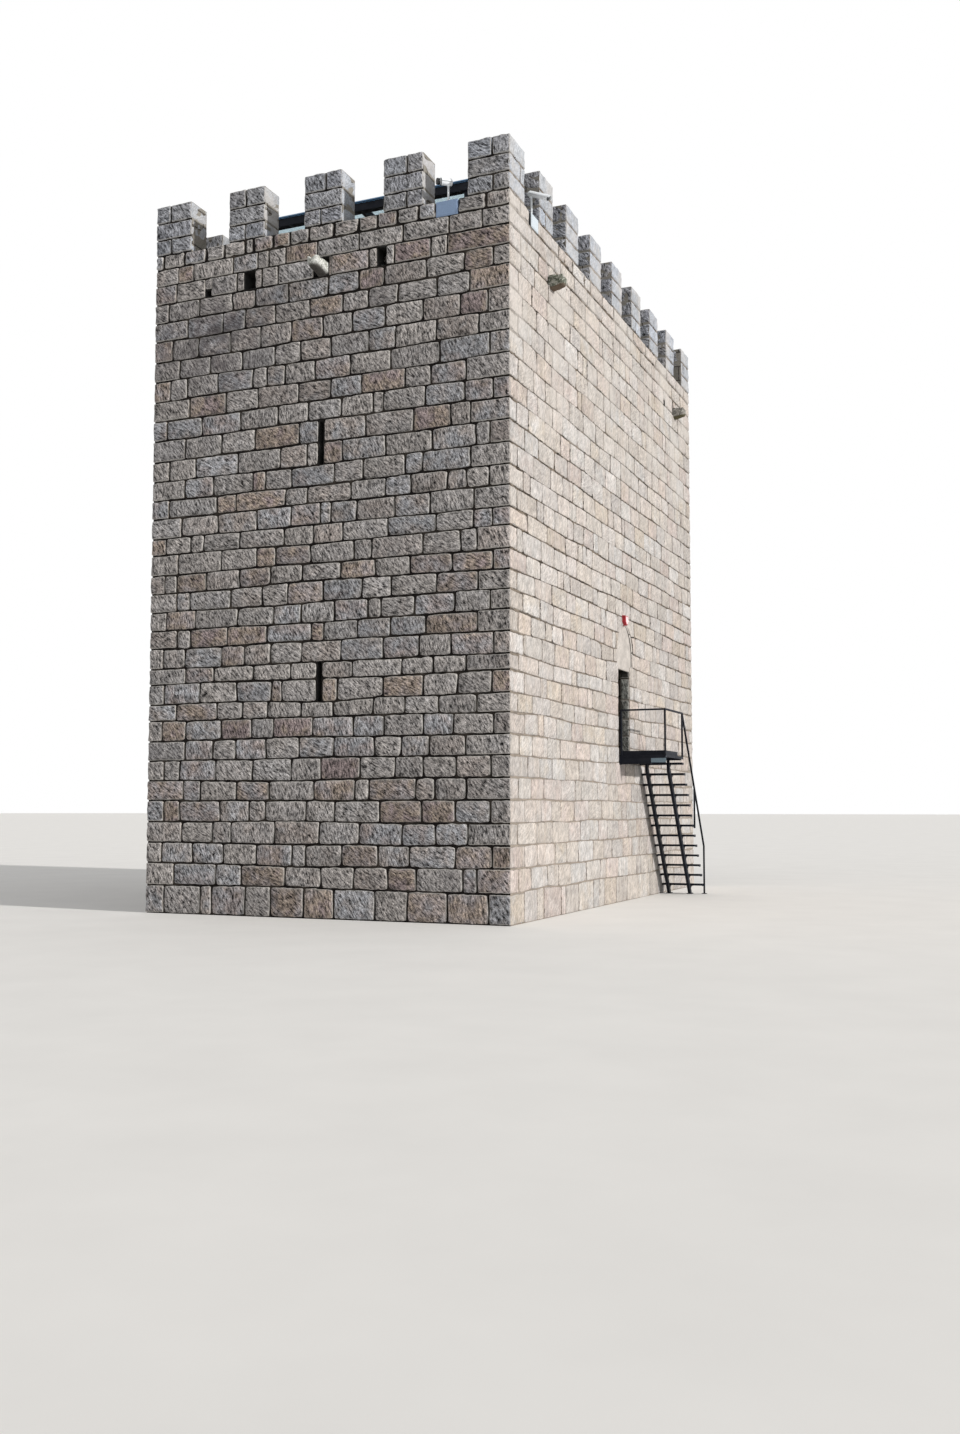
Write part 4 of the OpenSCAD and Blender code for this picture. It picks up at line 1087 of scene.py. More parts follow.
def corner_merlon_stones(blocks, low, high, chance):
    """An L-shaped merlon, its two arms taking the corner in turn."""
    x_side, y_side = (1 if low[0] > MIDDLE_X else -1), (1 if low[1] > 0 else -1)
    x, y = corner_place(x_side, y_side)
    arm_x, arm_y = high[0] - low[0], high[1] - low[1]
    # Depths in from the corner's two faces
    out_x, out_y = -(PROUD_SUNNY if x_side > 0 else PROUD), -PROUD
    for course, bottom, top in merlon_courses():
        if course == 1:
            spans = (((out_x, arm_x), (out_y, THICK)), ((out_x, THICK), (THICK + JOINT_GAP, arm_y)))
        else:
            # A narrow stone at the corner runs the length of the other arm.
            cut = arm_x * chance.uniform(0.34, 0.40)
            spans = (((out_x, cut), (out_y, arm_y)), ((cut + JOINT_GAP, arm_x), (out_y, THICK)),
                     ((cut + JOINT_GAP / 2, THICK), (THICK, arm_y)))
        for xs, ys in spans:
            nudge = chance.uniform(-0.004, 0.004)
            near, far = ((x - x_side * xs[k], y - y_side * ys[k] + nudge) for k in (0, 1))
            blocks.add((*near, bottom), (*far, top))


def build_merlons():
    layout = (("front", 0, (PROUD, INSIDE_PROUD)), ("back", 0, (INSIDE_PROUD, PROUD)),
              ("right", 1, (INSIDE_PROUD, PROUD_SUNNY)), ("left", 1, (PROUD, INSIDE_PROUD)))
    for seed, (name, axis, out) in enumerate(layout):
        chance = np.random.default_rng(400 + seed)
        blocks = Blocks()
        for low, high in loose_boxes(f"{name}_merlons"):
            merlon_stones(blocks, low, high, axis, out, chance)
        arrays = blocks.arrays(410 + seed, inner=(4, 4, 4), relief=RELIEF * 1.2)
        two_sided(f"{name}_merlon_stones", arrays, MERLON_STONE, SUNNY_MERLON)
    chance = np.random.default_rng(450)
    blocks = Blocks()
    for low, high in loose_boxes("corner_merlons"):
        corner_merlon_stones(blocks, low, high, chance)
    arrays = blocks.arrays(451, inner=(5, 5, 4), relief=RELIEF * 1.2)
    two_sided("corner_merlon_stones", arrays, MERLON_STONE, SUNNY_MERLON)


# Doorway
def arch_stone(name, inner, outer, z0, z1, steps, columns, face_d, seed):
    """A smooth dressed stone between two curves of distance from the arch's middle. Its sides
    are as dark as the joint they stand in."""
    z = np.linspace(z0, z1, steps)[:, None] + np.zeros(columns)
    share = np.linspace(0, 1, columns)[None, :]
    a, b = inner(z), outer(z)
    y = ARCH_MID + a + (b - a) * share
    edge = np.minimum(np.minimum(share, 1 - share) * np.abs(b - a), np.minimum(z - z0, z1 - z))
    drop = 0.010 * np.clip(1 - edge / 0.02, 0, 1) ** 2
    place = np.stack([y, z, 0 * z + seed], -1)
    d = face_d - drop + 0.0025 * waves(place, 0.5, seed)
    front = RIGHT.point(y, z, d).reshape(-1, 3)
    back = RIGHT.point(y, z, 0 * d - SET_IN).reshape(-1, 3)
    number = np.arange(steps * columns).reshape(steps, columns)
    faces = [(number[i, j], number[i, j + 1], number[i + 1, j + 1], number[i + 1, j])
             for i in range(steps - 1) for j in range(columns - 1)]
    rim = [*number[0, :], *number[1:, -1], *number[-1, -2::-1], *number[-2:0:-1, 0]]
    shift = steps * columns
    faces += [(a, a + shift, b + shift, b) for a, b in zip(rim, rim[1:] + rim[:1])]
    faces = np.array(faces)
    thing = mesh_object(name, np.concatenate([front, back]), faces.tolist(), SLAB_STONE)
    add_second(thing, CORE_DARK, np.arange(len(faces)) >= len(faces) - len(rim))
    return thing


def build_doorway():
    half_joint = JOINT_GAP_SUNNY / 2
    slab = arch_stone("tympanum_slab", lambda z: -arch_half(z) + half_joint,
                      lambda z: arch_half(z) - 2 * half_joint,
                      arch_lo.z + 0.004, arch_hi.z - 0.02, 40, 14, 0.004, 61)
    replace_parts(slab, "door_tympanum")
    cuts = (arch_lo.z + 0.004, arch_lo.z + 0.47, arch_lo.z + 0.86, RING_TOP_Z)
    for number in range(3):
        arch_stone(f"arch_ring_{number}", lambda z: arch_half(z) + 1.5 * half_joint,
                   lambda z: arch_half(z) + RING_W,
                   cuts[number] + 0.003, cuts[number + 1] - 0.003, 16, 6, 0.008, 62 + number)
    blocks = Blocks()
    chance = np.random.default_rng(66)
    edges = ENTRY_Z + (DOOR_HEAD_Z - ENTRY_Z) * np.array([0, 0.225, 0.41, 0.625, 0.86, 1.0])
    for side_y, out in ((DOOR_Y1, -1), (DOOR_Y0, 1)):
        for bottom, top in zip(edges, edges[1:]):
            face_y = side_y + out * chance.uniform(0.008, 0.016)
            blocks.add((X1 - REVEAL, face_y, bottom + 0.014), (X1 - 0.002, side_y - out * 0.04, top - 0.014))
    blocks.build("door_jamb_stones", JAMB_STONE, "granite", 67, inner=(4, 2, 5), radius=0.026)


# Roof
def build_paving():
    """Flagstones on the deck and on the wall walk round it."""
    blocks = Blocks()
    chance = np.random.default_rng(71)
    inset, half_gap = PARAPET_T + 0.012, 0.006
    rows = np.linspace(Y0 + inset, Y1 - inset, 21)
    previous = []
    for y0, y1 in zip(rows, rows[1:]):
        edges = split_stretch(X0 + inset, X1 - inset, previous, chance, 0.72)
        previous = edges[1:-1]
        for x0, x1 in zip(edges, edges[1:]):
            top = WALK_Z + chance.uniform(0.012, 0.020)
            blocks.add((x0 + half_gap, y0 + half_gap, WALK_Z - 0.01), (x1 - half_gap, y1 - half_gap, top))
    blocks.build("roof_flagstones", PAVING_STONE, "paving", 72, inner=(2, 2, 0), radius=0.007, relief=0.0015)


def channel_outline(width, height, share, roundness):
    """A spout's section, from the channel's left lip round the bottom to the right lip."""
    half = width / 2
    corner = roundness * width
    lip = [(0.30 * width, height), (half * 0.97, height * 0.985), (half, height * 0.80)]
    points = [(-x, y) for x, y in lip]
    for side, quarter in ((-1, 2), (1, 3)):
        for k in range(7):
            turn = (quarter + k / 6) * math.pi / 2
            points.append((side * (half - corner) + corner * math.cos(turn),
                           corner + corner * math.sin(turn)))
    points += lip[::-1]
    depth = 0.24 * height * (0.7 + 0.5 * share)
    for k in range(1, 6):
        turn = k / 6 * math.pi
        points.append((0.24 * width * math.cos(turn), height * 0.97 - depth * math.sin(turn)))
    return np.array(points)


def channel_stone(name, box, axis, out, seed, material, roundness):
    """A worn stone channel that leads water out of the parapet and droops to a rounded tip."""
    low, high = box
    other = 1 - axis
    middle = (low[other] + high[other]) / 2
    width, full_h = high[other] - low[other], high[2] - low[2]
    root, tip = (low[axis], high[axis]) if out > 0 else (high[axis], low[axis])
    wall = RUNS[axis][out > 0]
    steps, droop, nose_start = 26, 0.24, 0.86
    rings = []
    for along in np.linspace(root, tip, steps):
        past = max(0.0, (along - wall) * out) / abs(tip - wall)
        nose = math.sqrt(1 - max(0.0, (past - nose_start) / (1 - nose_start)) ** 2 * 0.75)
        outline = channel_outline(width * (1 - 0.12 * past), full_h * (1 - droop * past), past, roundness)
        centre = np.array([0, outline[:, 1].mean()])
        outline = centre + (outline - centre) * nose
        across, up = middle + outline[:, 0], low[2] + full_h * droop * past + outline[:, 1]
        rings.append(np.stack(on_axis(axis, 0 * across + along, across, up), -1))
    verts = np.array(rings)
    bump = 0.006 * waves(verts, 0.20, seed) + 0.004 * waves(verts, 0.07, seed + 1)
    away = verts - verts.mean(1, keepdims=True)
    away[..., axis] = 0
    away /= np.maximum(np.linalg.norm(away, axis=-1, keepdims=True), 1e-6)
    verts = verts + away * bump[..., None]
    sides = verts.shape[1]
    faces = ring_faces(steps, sides)
    faces += [tuple(range((steps - 1) * sides, steps * sides)), tuple(reversed(range(sides)))]
    if (out > 0) != (axis == 1):
        faces = [face[::-1] for face in faces]
    return mesh_object(name, verts.reshape(-1, 3), faces, material)


def build_spouts():
    seed = 80
    looks = ((MOSSY, 0.17), (GREY_SPOUT, 0.17))
    layout = (("front_spout", 1, -1, ((PALE_SPOUT, 0.42),)), ("back_spout", 1, 1, looks),
              ("left_spouts", 0, -1, looks), ("right_spouts", 0, 1, looks))
    for node, axis, out, looks in layout:
        for number, box in enumerate(loose_boxes(node)):
            stone = channel_stone(f"{node}_stone_{number}", box, axis, out, seed, *looks[number])
            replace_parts(stone, node)
            seed += 5


# Steelwork
PLATE_T = 0.008
RAIL_HALF = 0.018
# The wall plates' backs, a little inside the sunny wall's stones
PLATE_X = X1 + PROUD_SUNNY - 0.004
LOOKS_NEAR = (0, -1, 0)


def foot_plate(parts, x, y, z, half, thick=PLATE_T, bolt=0.008):
    """A square plate under a post, with a bolt at each corner."""
    parts.block(x, y, z, half, half, thick, 0.002)
    reach = half - 2 * bolt
    for dx in (-reach, reach):
        for dy in (-reach, reach):
            parts.bolt(Matrix.Translation((x + dx, y + dy, z + thick)), bolt)


def wall_plate(parts, low, high, half_y, half_z, thick=0.016):
    """A plate behind a beam's root on the sunny wall's stones, with a bolt at each corner."""
    y, z = (low[1] + high[1]) / 2, (low[2] + high[2]) / 2
    parts.box((PLATE_X, y - half_y, z - half_z), (PLATE_X + thick, y + half_y, z + half_z), 0.002)
    for dy in (-1, 1):
        for dz in (-1, 1):
            place = (PLATE_X + thick, y + dy * (half_y - 0.022), z + dz * (half_z - 0.022))
            parts.bolt(aimed(place, (1, 0, 0)), 0.012)


def build_landing():
    deck_lo, deck_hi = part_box("landing_deck")
    (near_lo, near_hi), (far_lo, far_hi) = loose_boxes("landing_beams")
    top, under = deck_hi.z, deck_lo.z
    parts = Parts()
    # Raised bars over the whole deck
    for y in np.linspace(deck_lo.y + 0.06, deck_hi.y - 0.02, 46):
        parts.box((deck_lo.x + 0.05, y - 0.003, top - 0.001), (deck_hi.x - 0.055, y + 0.003, top + 0.004))
    outer_x, wall_x = deck_hi.x - RAIL_HALF, deck_lo.x + 0.03 + RAIL_HALF
    near_y, far_y = deck_lo.y + RAIL_HALF, deck_hi.y - RAIL_HALF
    for x, y in ((wall_x, near_y), (outer_x, near_y), (outer_x, far_y)):
        parts.block(x, y, top, 0.026, 0.026, 0.010, 0.003)
    # Stiffeners and an edge flange under the deck
    for share in (0.35, 0.68):
        x = deck_lo.x + (deck_hi.x - deck_lo.x) * share
        parts.box((x - 0.005, near_hi[1], under - 0.045), (x + 0.005, far_lo[1], under))
    parts.box((deck_hi.x - 0.008, deck_lo.y + 0.02, under - 0.03), (deck_hi.x, deck_hi.y, under))
    # Flanges of the near beam
    for z in (near_lo[2], near_hi[2] - 0.010):
        parts.box((near_lo[0] + 0.02, near_lo[1] - 0.012, z), (near_hi[0], near_lo[1] + 0.004, z + 0.010))
    wall_plate(parts, near_lo, near_hi, 0.075, 0.095)
    wall_plate(parts, far_lo, far_hi, 0.060, 0.060)
    # The near rail's two ties to the wall
    for z in (top + 0.30, top + 0.80):
        parts.rod((deck_lo.x + 0.012, near_y, z), (wall_x, near_y, z), 0.007)
        parts.turned([(0, 0.024), (0.005, 0.024), (0.008, 0.018)], 16, aimed((PLATE_X, near_y, z), (1, 0, 0)))
    # Clips of the toe boards
    board_lo, board_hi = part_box("landing_toe_boards")
    for share in (0.12, 0.5, 0.88):
        x, y = board_lo.x + (board_hi.x - board_lo.x) * share, board_lo.y + 0.012
        parts.box((x - 0.02, y, top), (x + 0.02, board_lo.y + 0.045, top + 0.006))
        parts.box((x - 0.02, y, top), (x + 0.02, board_lo.y + 0.018, top + 0.05))
        parts.bolt(aimed((x, board_lo.y, top + 0.05), LOOKS_NEAR), 0.007)
    # Angles along the end plate's top and bottom
    plate_lo, plate_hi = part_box("landing_end_plate")
    for z0, z1 in ((plate_hi.z - 0.045, plate_hi.z), (plate_lo.z, plate_lo.z + 0.018)):
        parts.box((plate_lo.x, plate_lo.y - 0.006, z0), (plate_hi.x, plate_lo.y + 0.002, z1))
    parts.build("landing_fittings", STEEL, "dark_steel")
    plate = Parts()
    for x in (plate_lo.x + 0.05, plate_hi.x - 0.05):
        plate.bolt(aimed((x, plate_lo.y, (plate_lo.z + plate_hi.z) / 2), LOOKS_NEAR), 0.009)
    plate.build("end_plate_fittings", GALVANISED, "grey_paint")


def build_stair():
    parts = Parts()
    stringers_lo, stringers_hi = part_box("stair_stringers")
    middles = (stringers_lo.x + 0.03, stringers_hi.x - 0.03)
    for low, high in loose_boxes("stair_treads"):
        (x0, y0, z0), (x1, y1, z1) = low, high
        # A chequered top in raised bars, a turned-down nose and side cheeks
        for k in range(6):
            y = y0 + 0.016 + 0.026 * k
            parts.box((x0 + 0.012, y - 0.003, z1 - 0.001), (x1 - 0.012, y + 0.003, z1 + 0.003))
        parts.box((x0, y1 - 0.004, z0 - 0.006), (x1, y1 + 0.003, z1 + 0.002))
        for x in (x0, x1 - 0.005):
            parts.box((x, y0, z0 - 0.012), (x + 0.005, y1, z0 + 0.002))
        # A bolted cleat at each stringer
        for middle in middles:
            for y in (y0 + 0.03, y0 + 0.10):
                parts.bolt(aimed((middle + 0.045, y, z0), (0, 0, -1)), 0.007)
                parts.block(middle + 0.045, y, z0 - 0.006, 0.017, 0.016, 0.006)
    foot_y = stringers_hi.y
    for middle in middles:
        parts.box((middle - 0.06, foot_y - 0.19, 0.0), (middle + 0.06, foot_y + 0.02, 0.012), 0.002)
        for dx in (-0.045, 0.045):
            for y in (foot_y - 0.17, foot_y - 0.002):
                parts.bolt(Matrix.Translation((middle + dx, y, 0.012)), 0.009)
    rail_lo, rail_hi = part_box("stair_handrail")
    foot_plate(parts, (rail_lo.x + rail_hi.x) / 2, rail_hi.y - RAIL_HALF, 0.0, 0.055)
    parts.build("stair_fittings", STEEL, "dark_steel")


def build_canopy():
    beam_lo, beam_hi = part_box("canopy_edge_beams")
    parts = Parts()
    for low, high in loose_boxes("canopy_posts"):
        x, y = (low[0] + high[0]) / 2, (low[1] + high[1]) / 2
        foot_plate(parts, x, y, WALK_Z + 0.016, 0.13, 0.016, 0.014)
        half = (high[0] - low[0]) / 2 + 0.02
        parts.block(x, y, high[2] - 0.014, half, half, 0.014, 0.002)
    # Lips along the top and the bottom of the edge beams make channels of them.
    lip, thick = 0.022, 0.012
    for z in (beam_lo.z, beam_hi.z - thick):
        for y, lip_y in ((beam_lo.y, beam_lo.y - lip), (beam_hi.y, beam_hi.y + lip)):
            parts.box((beam_lo.x - lip, y, z), (beam_hi.x + lip, lip_y, z + thick), 0.002)
        for x, lip_x in ((beam_lo.x, beam_lo.x - lip), (beam_hi.x, beam_hi.x + lip)):
            parts.box((x, beam_lo.y, z), (lip_x, beam_hi.y, z + thick), 0.002)
    # Stiffening ribs in the channels
    for y in np.linspace(beam_lo.y, beam_hi.y, 13)[1:-1]:
        for x, lip_x in ((beam_lo.x, beam_lo.x - lip), (beam_hi.x, beam_hi.x + lip)):
            parts.box((x, y - 0.005, beam_lo.z), (lip_x, y + 0.005, beam_hi.z))
    rafters = loose_boxes("canopy_rafters")
    rafter_xs = [(low[0] + high[0]) / 2 for low, high in rafters]
    edge_lo, edge_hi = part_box("canopy_glass")
    glass_top = edge_hi.z
    for (low, high), x in zip(rafters, rafter_xs):
        parts.box((x - 0.03, low[1] - 0.05, glass_top), (x + 0.03, high[1] + 0.05, glass_top + 0.006))
        for y, plate_y in ((low[1], low[1] + 0.012), (high[1], high[1] - 0.012)):
            parts.box((low[0] - 0.04, y, low[2]), (high[0] + 0.04, plate_y, high[2]), 0.002)
    parts.build("canopy_fittings", STEEL, "dark_steel")
    clamps = Parts()
    for y in np.linspace(beam_lo.y + 0.25, beam_hi.y - 0.25, 9):
        for x in (beam_lo.x + 0.06, beam_hi.x - 0.06, *rafter_xs):
            place = Matrix.Translation((x, y, glass_top + 0.004))
            clamps.turned([(0, 0.032), (0.006, 0.032), (0.010, 0.026)], 16, place)
    clamps.build("glass_clamps", GALVANISED, "grey_paint")
    # Trim round the glass's edge, painted light blue for the sky it reflects.
    trim = Parts()
    foot, reach = beam_hi.z - 0.022, 0.014
    for y, out_y in ((edge_lo.y, edge_lo.y - reach), (edge_hi.y, edge_hi.y + reach)):
        trim.box((edge_lo.x, y, foot), (edge_hi.x, out_y, glass_top + 0.004), 0.002)
    for x, out_x in ((edge_lo.x, edge_lo.x - reach), (edge_hi.x, edge_hi.x + reach)):
        trim.box((x, edge_lo.y, foot), (out_x, edge_hi.y, glass_top + 0.002), 0.002)
    trim.build("glass_edge_trim", BLUE_TRIM, "grey_paint")


# Fixtures
def heading(round_deg, drop_deg):
    """A direction from its turn round the tower and its drop below the level, in degrees."""
    turn, drop = math.radians(round_deg), math.radians(drop_deg)
    return math.cos(turn) * math.cos(drop), math.sin(turn) * math.cos(drop), -math.sin(drop)


def build_junction_box(node, lid_material, body_material, slot, axis, out):
    """A box with a rimmed lid and four screws, its lid looking out of the wall."""
    low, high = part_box(node)
    other = 1 - axis
    face, back = (high[axis], low[axis]) if out > 0 else (low[axis], high[axis])
    u0, u1 = low[other], high[other]

    def at(u, depth, z):
        """A place from its run along the wall and its depth under the lid's face."""
        return on_axis(other, u, face - out * depth, z)

    body = Parts()
    body.box(at(u0, 0.022, low.z), at(u1, abs(back - face), high.z), 0.008)
    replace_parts(body.build(f"{node}_body", body_material, slot), node)
    lid = Parts()
    lid.box(at(u0 - 0.004, 0, low.z - 0.004), at(u1 + 0.004, 0.020, high.z + 0.002), 0.007)
    lid.box(at(u0 + 0.018, 0.002, low.z + 0.018), at(u1 - 0.018, -0.004, high.z - 0.020), 0.003)
    for u in (u0 + 0.014, u1 - 0.014):
        for z in (low.z + 0.014, high.z - 0.014):
            place = aimed(at(u, 0, z), on_axis(other, 0, out, 0))
            lid.turned([(0, 0.006), (0.003, 0.006), (0.004, 0.004)], 12, place)
    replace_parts(lid.build(f"{node}_lid", lid_material, slot), node)


def hood(parts, start, end, radius, place):
    """A half shell over the upper side of a housing."""
    arc = np.linspace(-math.pi / 2, math.pi / 2, 19)
    rows = ((radius, arc), (radius + 0.005, arc[::-1]))
    rim = [(r * math.cos(a), r * math.sin(a)) for r, row in rows for a in row]
    n = len(rim)
    faces = ring_faces(2, n)
    faces += [(m, m + 1, n - 2 - m, n - 1 - m) for m in range(len(arc) - 1)]
    faces += [(n + m + 1, n + m, n + n - 1 - m, n + n - 2 - m) for m in range(len(arc) - 1)]
    parts.take([(x, y, z) for z in (start, end) for x, y in rim], faces, False, place)


def build_camera(node, base, rise, length, radius, direction, hood_end, snout):
    """A housing on a pole: rounded body, dark lens in a ring, a hood over it and a swivel."""
    base, direction = Vector(base), Vector(direction).normalized()
    top = base + Vector((0, 0, rise))
    side = direction.cross(Vector((0, 0, 1))).normalized()
    up = side.cross(direction).normalized()
    tail = top - direction * 0.07
    place = aimed(tail, direction, up)
    parts = Parts()
    soft, hood_r = radius * 0.22, radius + 0.012
    back = [(0, radius - soft), (soft * 0.3, radius - soft * 0.3), (soft, radius)]
    parts.turned(back + [(length - h, r) for h, r in back[::-1]], 28, place)
    parts.turned([(length * 0.78, radius + 0.003), (length * 0.80, radius + 0.003)], 28, place)
    hood(parts, length * 0.08, length * hood_end, hood_r, place)
    for z in (0.3 * length, 0.66 * length):
        spacer = aimed(tail + direction * z + up * radius, up)
        parts.turned([(0, 0.006), (hood_r - radius + 0.008, 0.006)], 10, spacer)
    # Swivel, pole, collar and two struts at the foot
    swivel = [(-0.03, 0.012), (-0.02, 0.026), (0.0, 0.030), (0.02, 0.026), (0.03, 0.012)]
    parts.turned(swivel, 18, aimed(top - up * radius * 0.9, (0, 0, 1)))
    parts.rod(base, top - Vector((0, 0, radius * 0.6)), 0.019, 18)
    parts.turned([(0, 0.045), (0.008, 0.045), (0.012, 0.030), (0.05, 0.024)], 20, Matrix.Translation(base))
    for turn in (-1, 1):
        parts.rod(base + side * turn * 0.05 + Vector((0, 0, 0.004)), base + Vector((0, 0, 0.12)), 0.006, 10)
    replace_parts(parts.build(f"{node}_housing", WHITE_PAINT, "white_paint"), node)
    lens = Parts()
    lens.turned([(length * snout, radius - soft * 1.15), (length * snout, radius + 0.002),
                 (length - soft * 0.4, radius + 0.002), (length + 0.002, radius - soft * 0.5),
                 (length + 0.003, radius - soft * 1.3)], 28, place)
    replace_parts(lens.build(f"{node}_lens", LENS_BLACK, "white_paint"), node)


def build_siren():
    low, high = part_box("alarm_siren")
    middle, half = (low.y + high.y) / 2, (high.y - low.y) / 2
    height, centre = high.z - low.z, 0.55
    # The outline from the front: straight sides that run to a blunt point below
    outline = [(-1, 1.0), (-1, 0.34), (-0.30, 0.0), (0.30, 0.0), (1, 0.34), (1, 1.0)]
    n = len(outline)

    def prism(parts, scale, x0, x1, taper):
        verts = [(x, middle + half * size * a, low.z + height * (centre + (b - centre) * size))
                 for x, size in ((x0, scale), (x1, scale * taper)) for a, b in outline]
        faces = ring_faces(2, n) + [tuple(range(n)), tuple(range(n, 2 * n))]
        parts.take(verts, outward(verts, faces, np.mean(verts, 0)))

    red = Parts()
    prism(red, 1.0, low.x, low.x + 0.018, 1.0)
    prism(red, 0.96, low.x + 0.018, high.x - 0.022, 0.97)
    prism(red, 0.93, high.x - 0.022, high.x - 0.008, 0.94)
    for z in (low.z + height * 0.80, low.z + height * 0.88):
        red.box((low.x + 0.03, low.y - 0.001, z), (high.x - 0.03, low.y + 0.02, z + 0.006))
    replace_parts(red.build("siren_body", SIREN_RED, "siren_red"), "alarm_siren")
    pale = Parts()
    prism(pale, 0.72, high.x - 0.012, high.x, 0.92)
    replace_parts(pale.build("siren_lens", PALE_LENS, "siren_red"), "alarm_siren")


def build_fixtures():
    build_junction_box("front_camera_box", BOX_PAINT, BOX_PAINT, "grey_paint", 1, -1)
    build_junction_box("side_camera_box", LID_PAINT, BOX_SHADE, "white_paint", 0, 1)
    front_foot = ((front_box_lo.x + front_box_hi.x) / 2, Y0 + 0.05, CRENEL_Z)
    side_foot = (X1 - 0.05, (side_box_lo.y + side_box_hi.y) / 2, CRENEL_Z)
    build_camera("front_camera", front_foot, 0.365, 0.30, 0.058, heading(225, 3), 0.74, 0.72)
    build_camera("side_camera", side_foot, 0.445, 0.44, 0.046, heading(0, 22), 1.08, 0.97)
    build_siren()


# Holes
LINER_T = 0.006


def tube(parts, axis, across, heights, depths):
    """Four thin slabs that line a hole: its run along the wall, its heights and its depths."""
    (u0, u1), (z0, z1), (d0, d1) = across, heights, depths
    for a, b, low, high in ((u0, u0 + LINER_T, z0, z1), (u1 - LINER_T, u1, z0, z1),
                            (u0, u1, z0, z0 + LINER_T), (u0, u1, z1 - LINER_T, z1)):
        parts.box(on_axis(axis, a, d0, low), on_axis(axis, b, d1, high))


def build_socket_stones():
    """Small stones beside and over the long sides' spouts. The far right one leaves a gap."""
    top, course_top = right_spouts_hi.z + 0.008, PARAPET_JOINTS[2] - 0.012
    beside = SPOUT_HALF + 0.006
    for name, x0, x1, material, seed in (("right", X1 - 0.30, X1 + PROUD_SUNNY * 0.5, SUNNY_STONE, 97),
                                         ("left", X0 - PROUD * 0.5, X0 + 0.30, SHADED_STONE, 98)):
        blocks = Blocks()
        for y in (NEAR_SPOUT_Y, FAR_SPOUT_Y):
            gap = 0.07 if (name, y) == ("right", FAR_SPOUT_Y) else 0
            blocks.add((x0, y + beside, WALK_Z + 0.01), (x1, y + SOCKET_HALF - 0.008, course_top))
            blocks.add((x0, y - beside + gap, top), (x1, y + beside - 0.012, course_top))
            if not gap:
                blocks.add((x0, y - SOCKET_HALF + 0.008, top - 0.05), (x1, y - beside - 0.012, course_top))
        blocks.build(f"{name}_socket_stones", material, "granite", seed, inner=(2, 2, 3), radius=0.010)


def build_hole_liners():
    """Near-black linings of the lookout holes, drains, sockets and slits: painted shade inside them."""
    parts = Parts()
    back = 0.012
    bottom, course_top = WALK_Z + 0.002, PARAPET_JOINTS[2] - 0.004
    for _, axis, _, across, _, hole_cuts, drains in parapet_sides():
        depths = (across[0] + back, across[1] - back)
        for cuts, top in ((hole_cuts, course_top), (drains, WALK_Z + DRAIN_H)):
            for middle, half in cuts:
                tube(parts, axis, (middle - half, middle + half), (bottom, top), depths)
    for face_y, inward, heights in ((Y0, 1, UPPER_SLIT), (Y0, 1, LOWER_SLIT), (Y1, -1, UPPER_SLIT)):
        tube(parts, 0, (MIDDLE_X - SLIT_HALF, MIDDLE_X + SLIT_HALF), heights,
             (face_y - inward * 0.004, face_y + inward * REVEAL))
    parts.build("hole_linings", SHADE_BLACK, "granite")


def build_sliver():
    """A narrow upright stone in the front spout's socket."""
    sliver = Blocks()
    x = MIDDLE_X + SOCKET_HALF - 0.055
    sliver.add((x, Y0 - PROUD * 0.6, WALK_Z + 0.01), (x + 0.045, Y0 + 0.30, PARAPET_JOINTS[2] - 0.014))
    sliver.build("socket_sliver", SHADED_STONE, "granite", 95, inner=(2, 3, 4), radius=0.010)


for build in (build_walls, build_parapets, build_merlons, build_hole_liners, build_sliver,
              build_socket_stones, build_doorway, build_paving, build_spouts, build_landing, build_stair,
              build_canopy, build_fixtures):
    build()

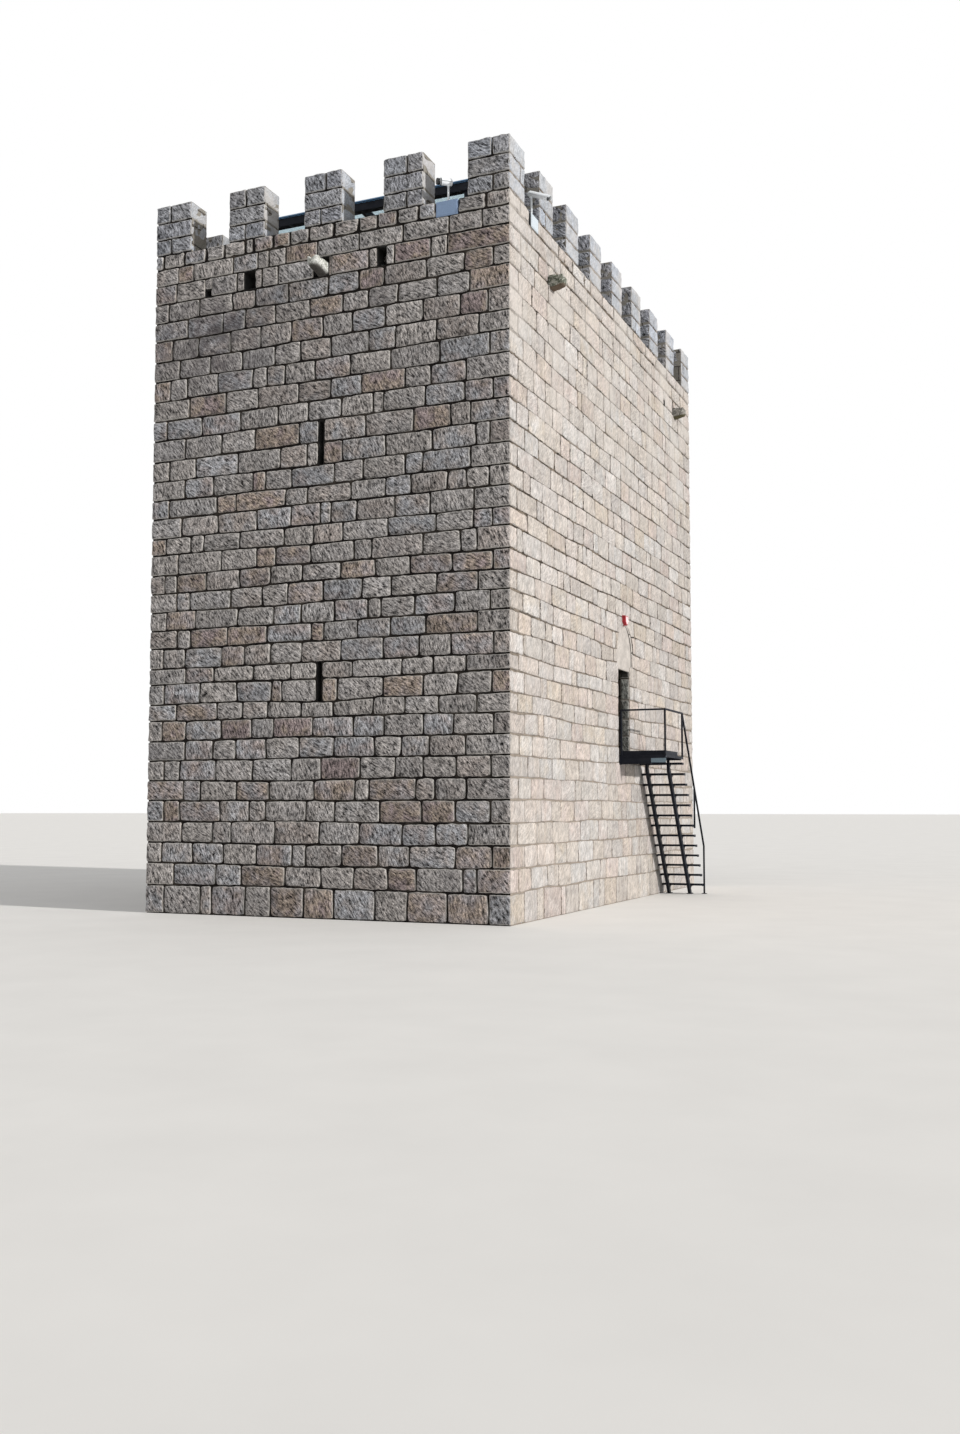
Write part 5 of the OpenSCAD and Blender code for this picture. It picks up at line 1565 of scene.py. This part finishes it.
# Materials of the CAD's own pieces that stay in sight
SIDES = ("front", "back", "left", "right")
CAD_MATERIALS = (
    (CORE, ("front_wall", "back_wall", "left_wall", "right_wall_near", "right_wall_far",
            "right_wall_over_door", "right_wall_under_door", "corner_merlons",
            *(f"{side}_parapet" for side in SIDES), *(f"{side}_merlons" for side in SIDES))),
    (STEEL, ("canopy_posts", "canopy_edge_beams", "canopy_rafters", "landing_beams", "landing_deck",
             "landing_near_rail", "landing_outer_rail", "landing_toe_boards", "stair_stringers",
             "stair_treads", "stair_handrail")),
    (BOARDS, ("entry_floor", "upper_floor")),
    (PAVING_STONE, ("roof_deck",)),
    (SLAB_STONE, ("door_sill",)),
    (GLASS, ("canopy_glass",)),
    (GALVANISED, ("landing_end_plate",)),
)
for material, nodes in CAD_MATERIALS:
    for node in nodes:
        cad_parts[node].data.materials[0] = material


# Camera, light, floor
def place_in_scene(name, data):
    thing = bpy.data.objects.new(name, data)
    bpy.context.scene.collection.objects.link(thing)
    return thing


def build_camera_and_sun():
    data = bpy.data.cameras.new("camera")
    data.sensor_width, data.lens, data.clip_end = 36.0, LENS, 500
    camera = place_in_scene("camera", data)
    camera.location = EYE
    camera.rotation_euler = (math.radians(90 + LOOK_UP), 0, math.radians(LOOK_LEFT))
    bpy.context.scene.camera = camera
    lamp = bpy.data.lights.new("key", "SUN")
    lamp.energy, lamp.angle, lamp.color = 3.1, math.radians(1.5), (1.0, 0.97, 0.93)
    toward = Vector(heading(-SUN_AZIMUTH, -SUN_ELEVATION))
    place_in_scene("key", lamp).rotation_euler = toward.to_track_quat("Z", "Y").to_euler()


def build_world():
    """A white background that is dimmer as a light than it is in sight, in glass and in mirrors."""
    world = bpy.data.worlds.new("studio")
    bpy.context.scene.world = world
    world.use_nodes = True
    nodes = Nodes(world.node_tree)
    ray = nodes.add("LightPath").outputs
    seen = nodes.math("MAXIMUM", ray["Is Camera Ray"], ray["Is Glossy Ray"])
    seen = nodes.math("MAXIMUM", seen, ray["Is Transmission Ray"])
    background = world.node_tree.nodes["Background"].inputs
    nodes.put(background["Color"], (1, 1, 1))
    nodes.put(background["Strength"], nodes.ranged(seen, 0.0, 1.0, 0.5, 1.0))


def build_floor():
    m = Shade("floor")
    m.finish(m.vary((0.85, 0.84, 0.82), m.noise(0.8), 0.3, 0.7, 0.98, 1.02), 0.9)
    mesh = bpy.data.meshes.new("floor")
    reach = 400
    mesh.from_pydata([(-reach, -reach, 0), (reach, -reach, 0), (reach, reach, 0), (-reach, reach, 0)], [],
                     [(0, 1, 2, 3)])
    mesh.materials.append(m.material)
    floor = place_in_scene("floor", mesh)
    floor.location.z = -0.002


build_camera_and_sun()
build_world()
build_floor()
bpy.context.scene.view_settings.view_transform = "Standard"
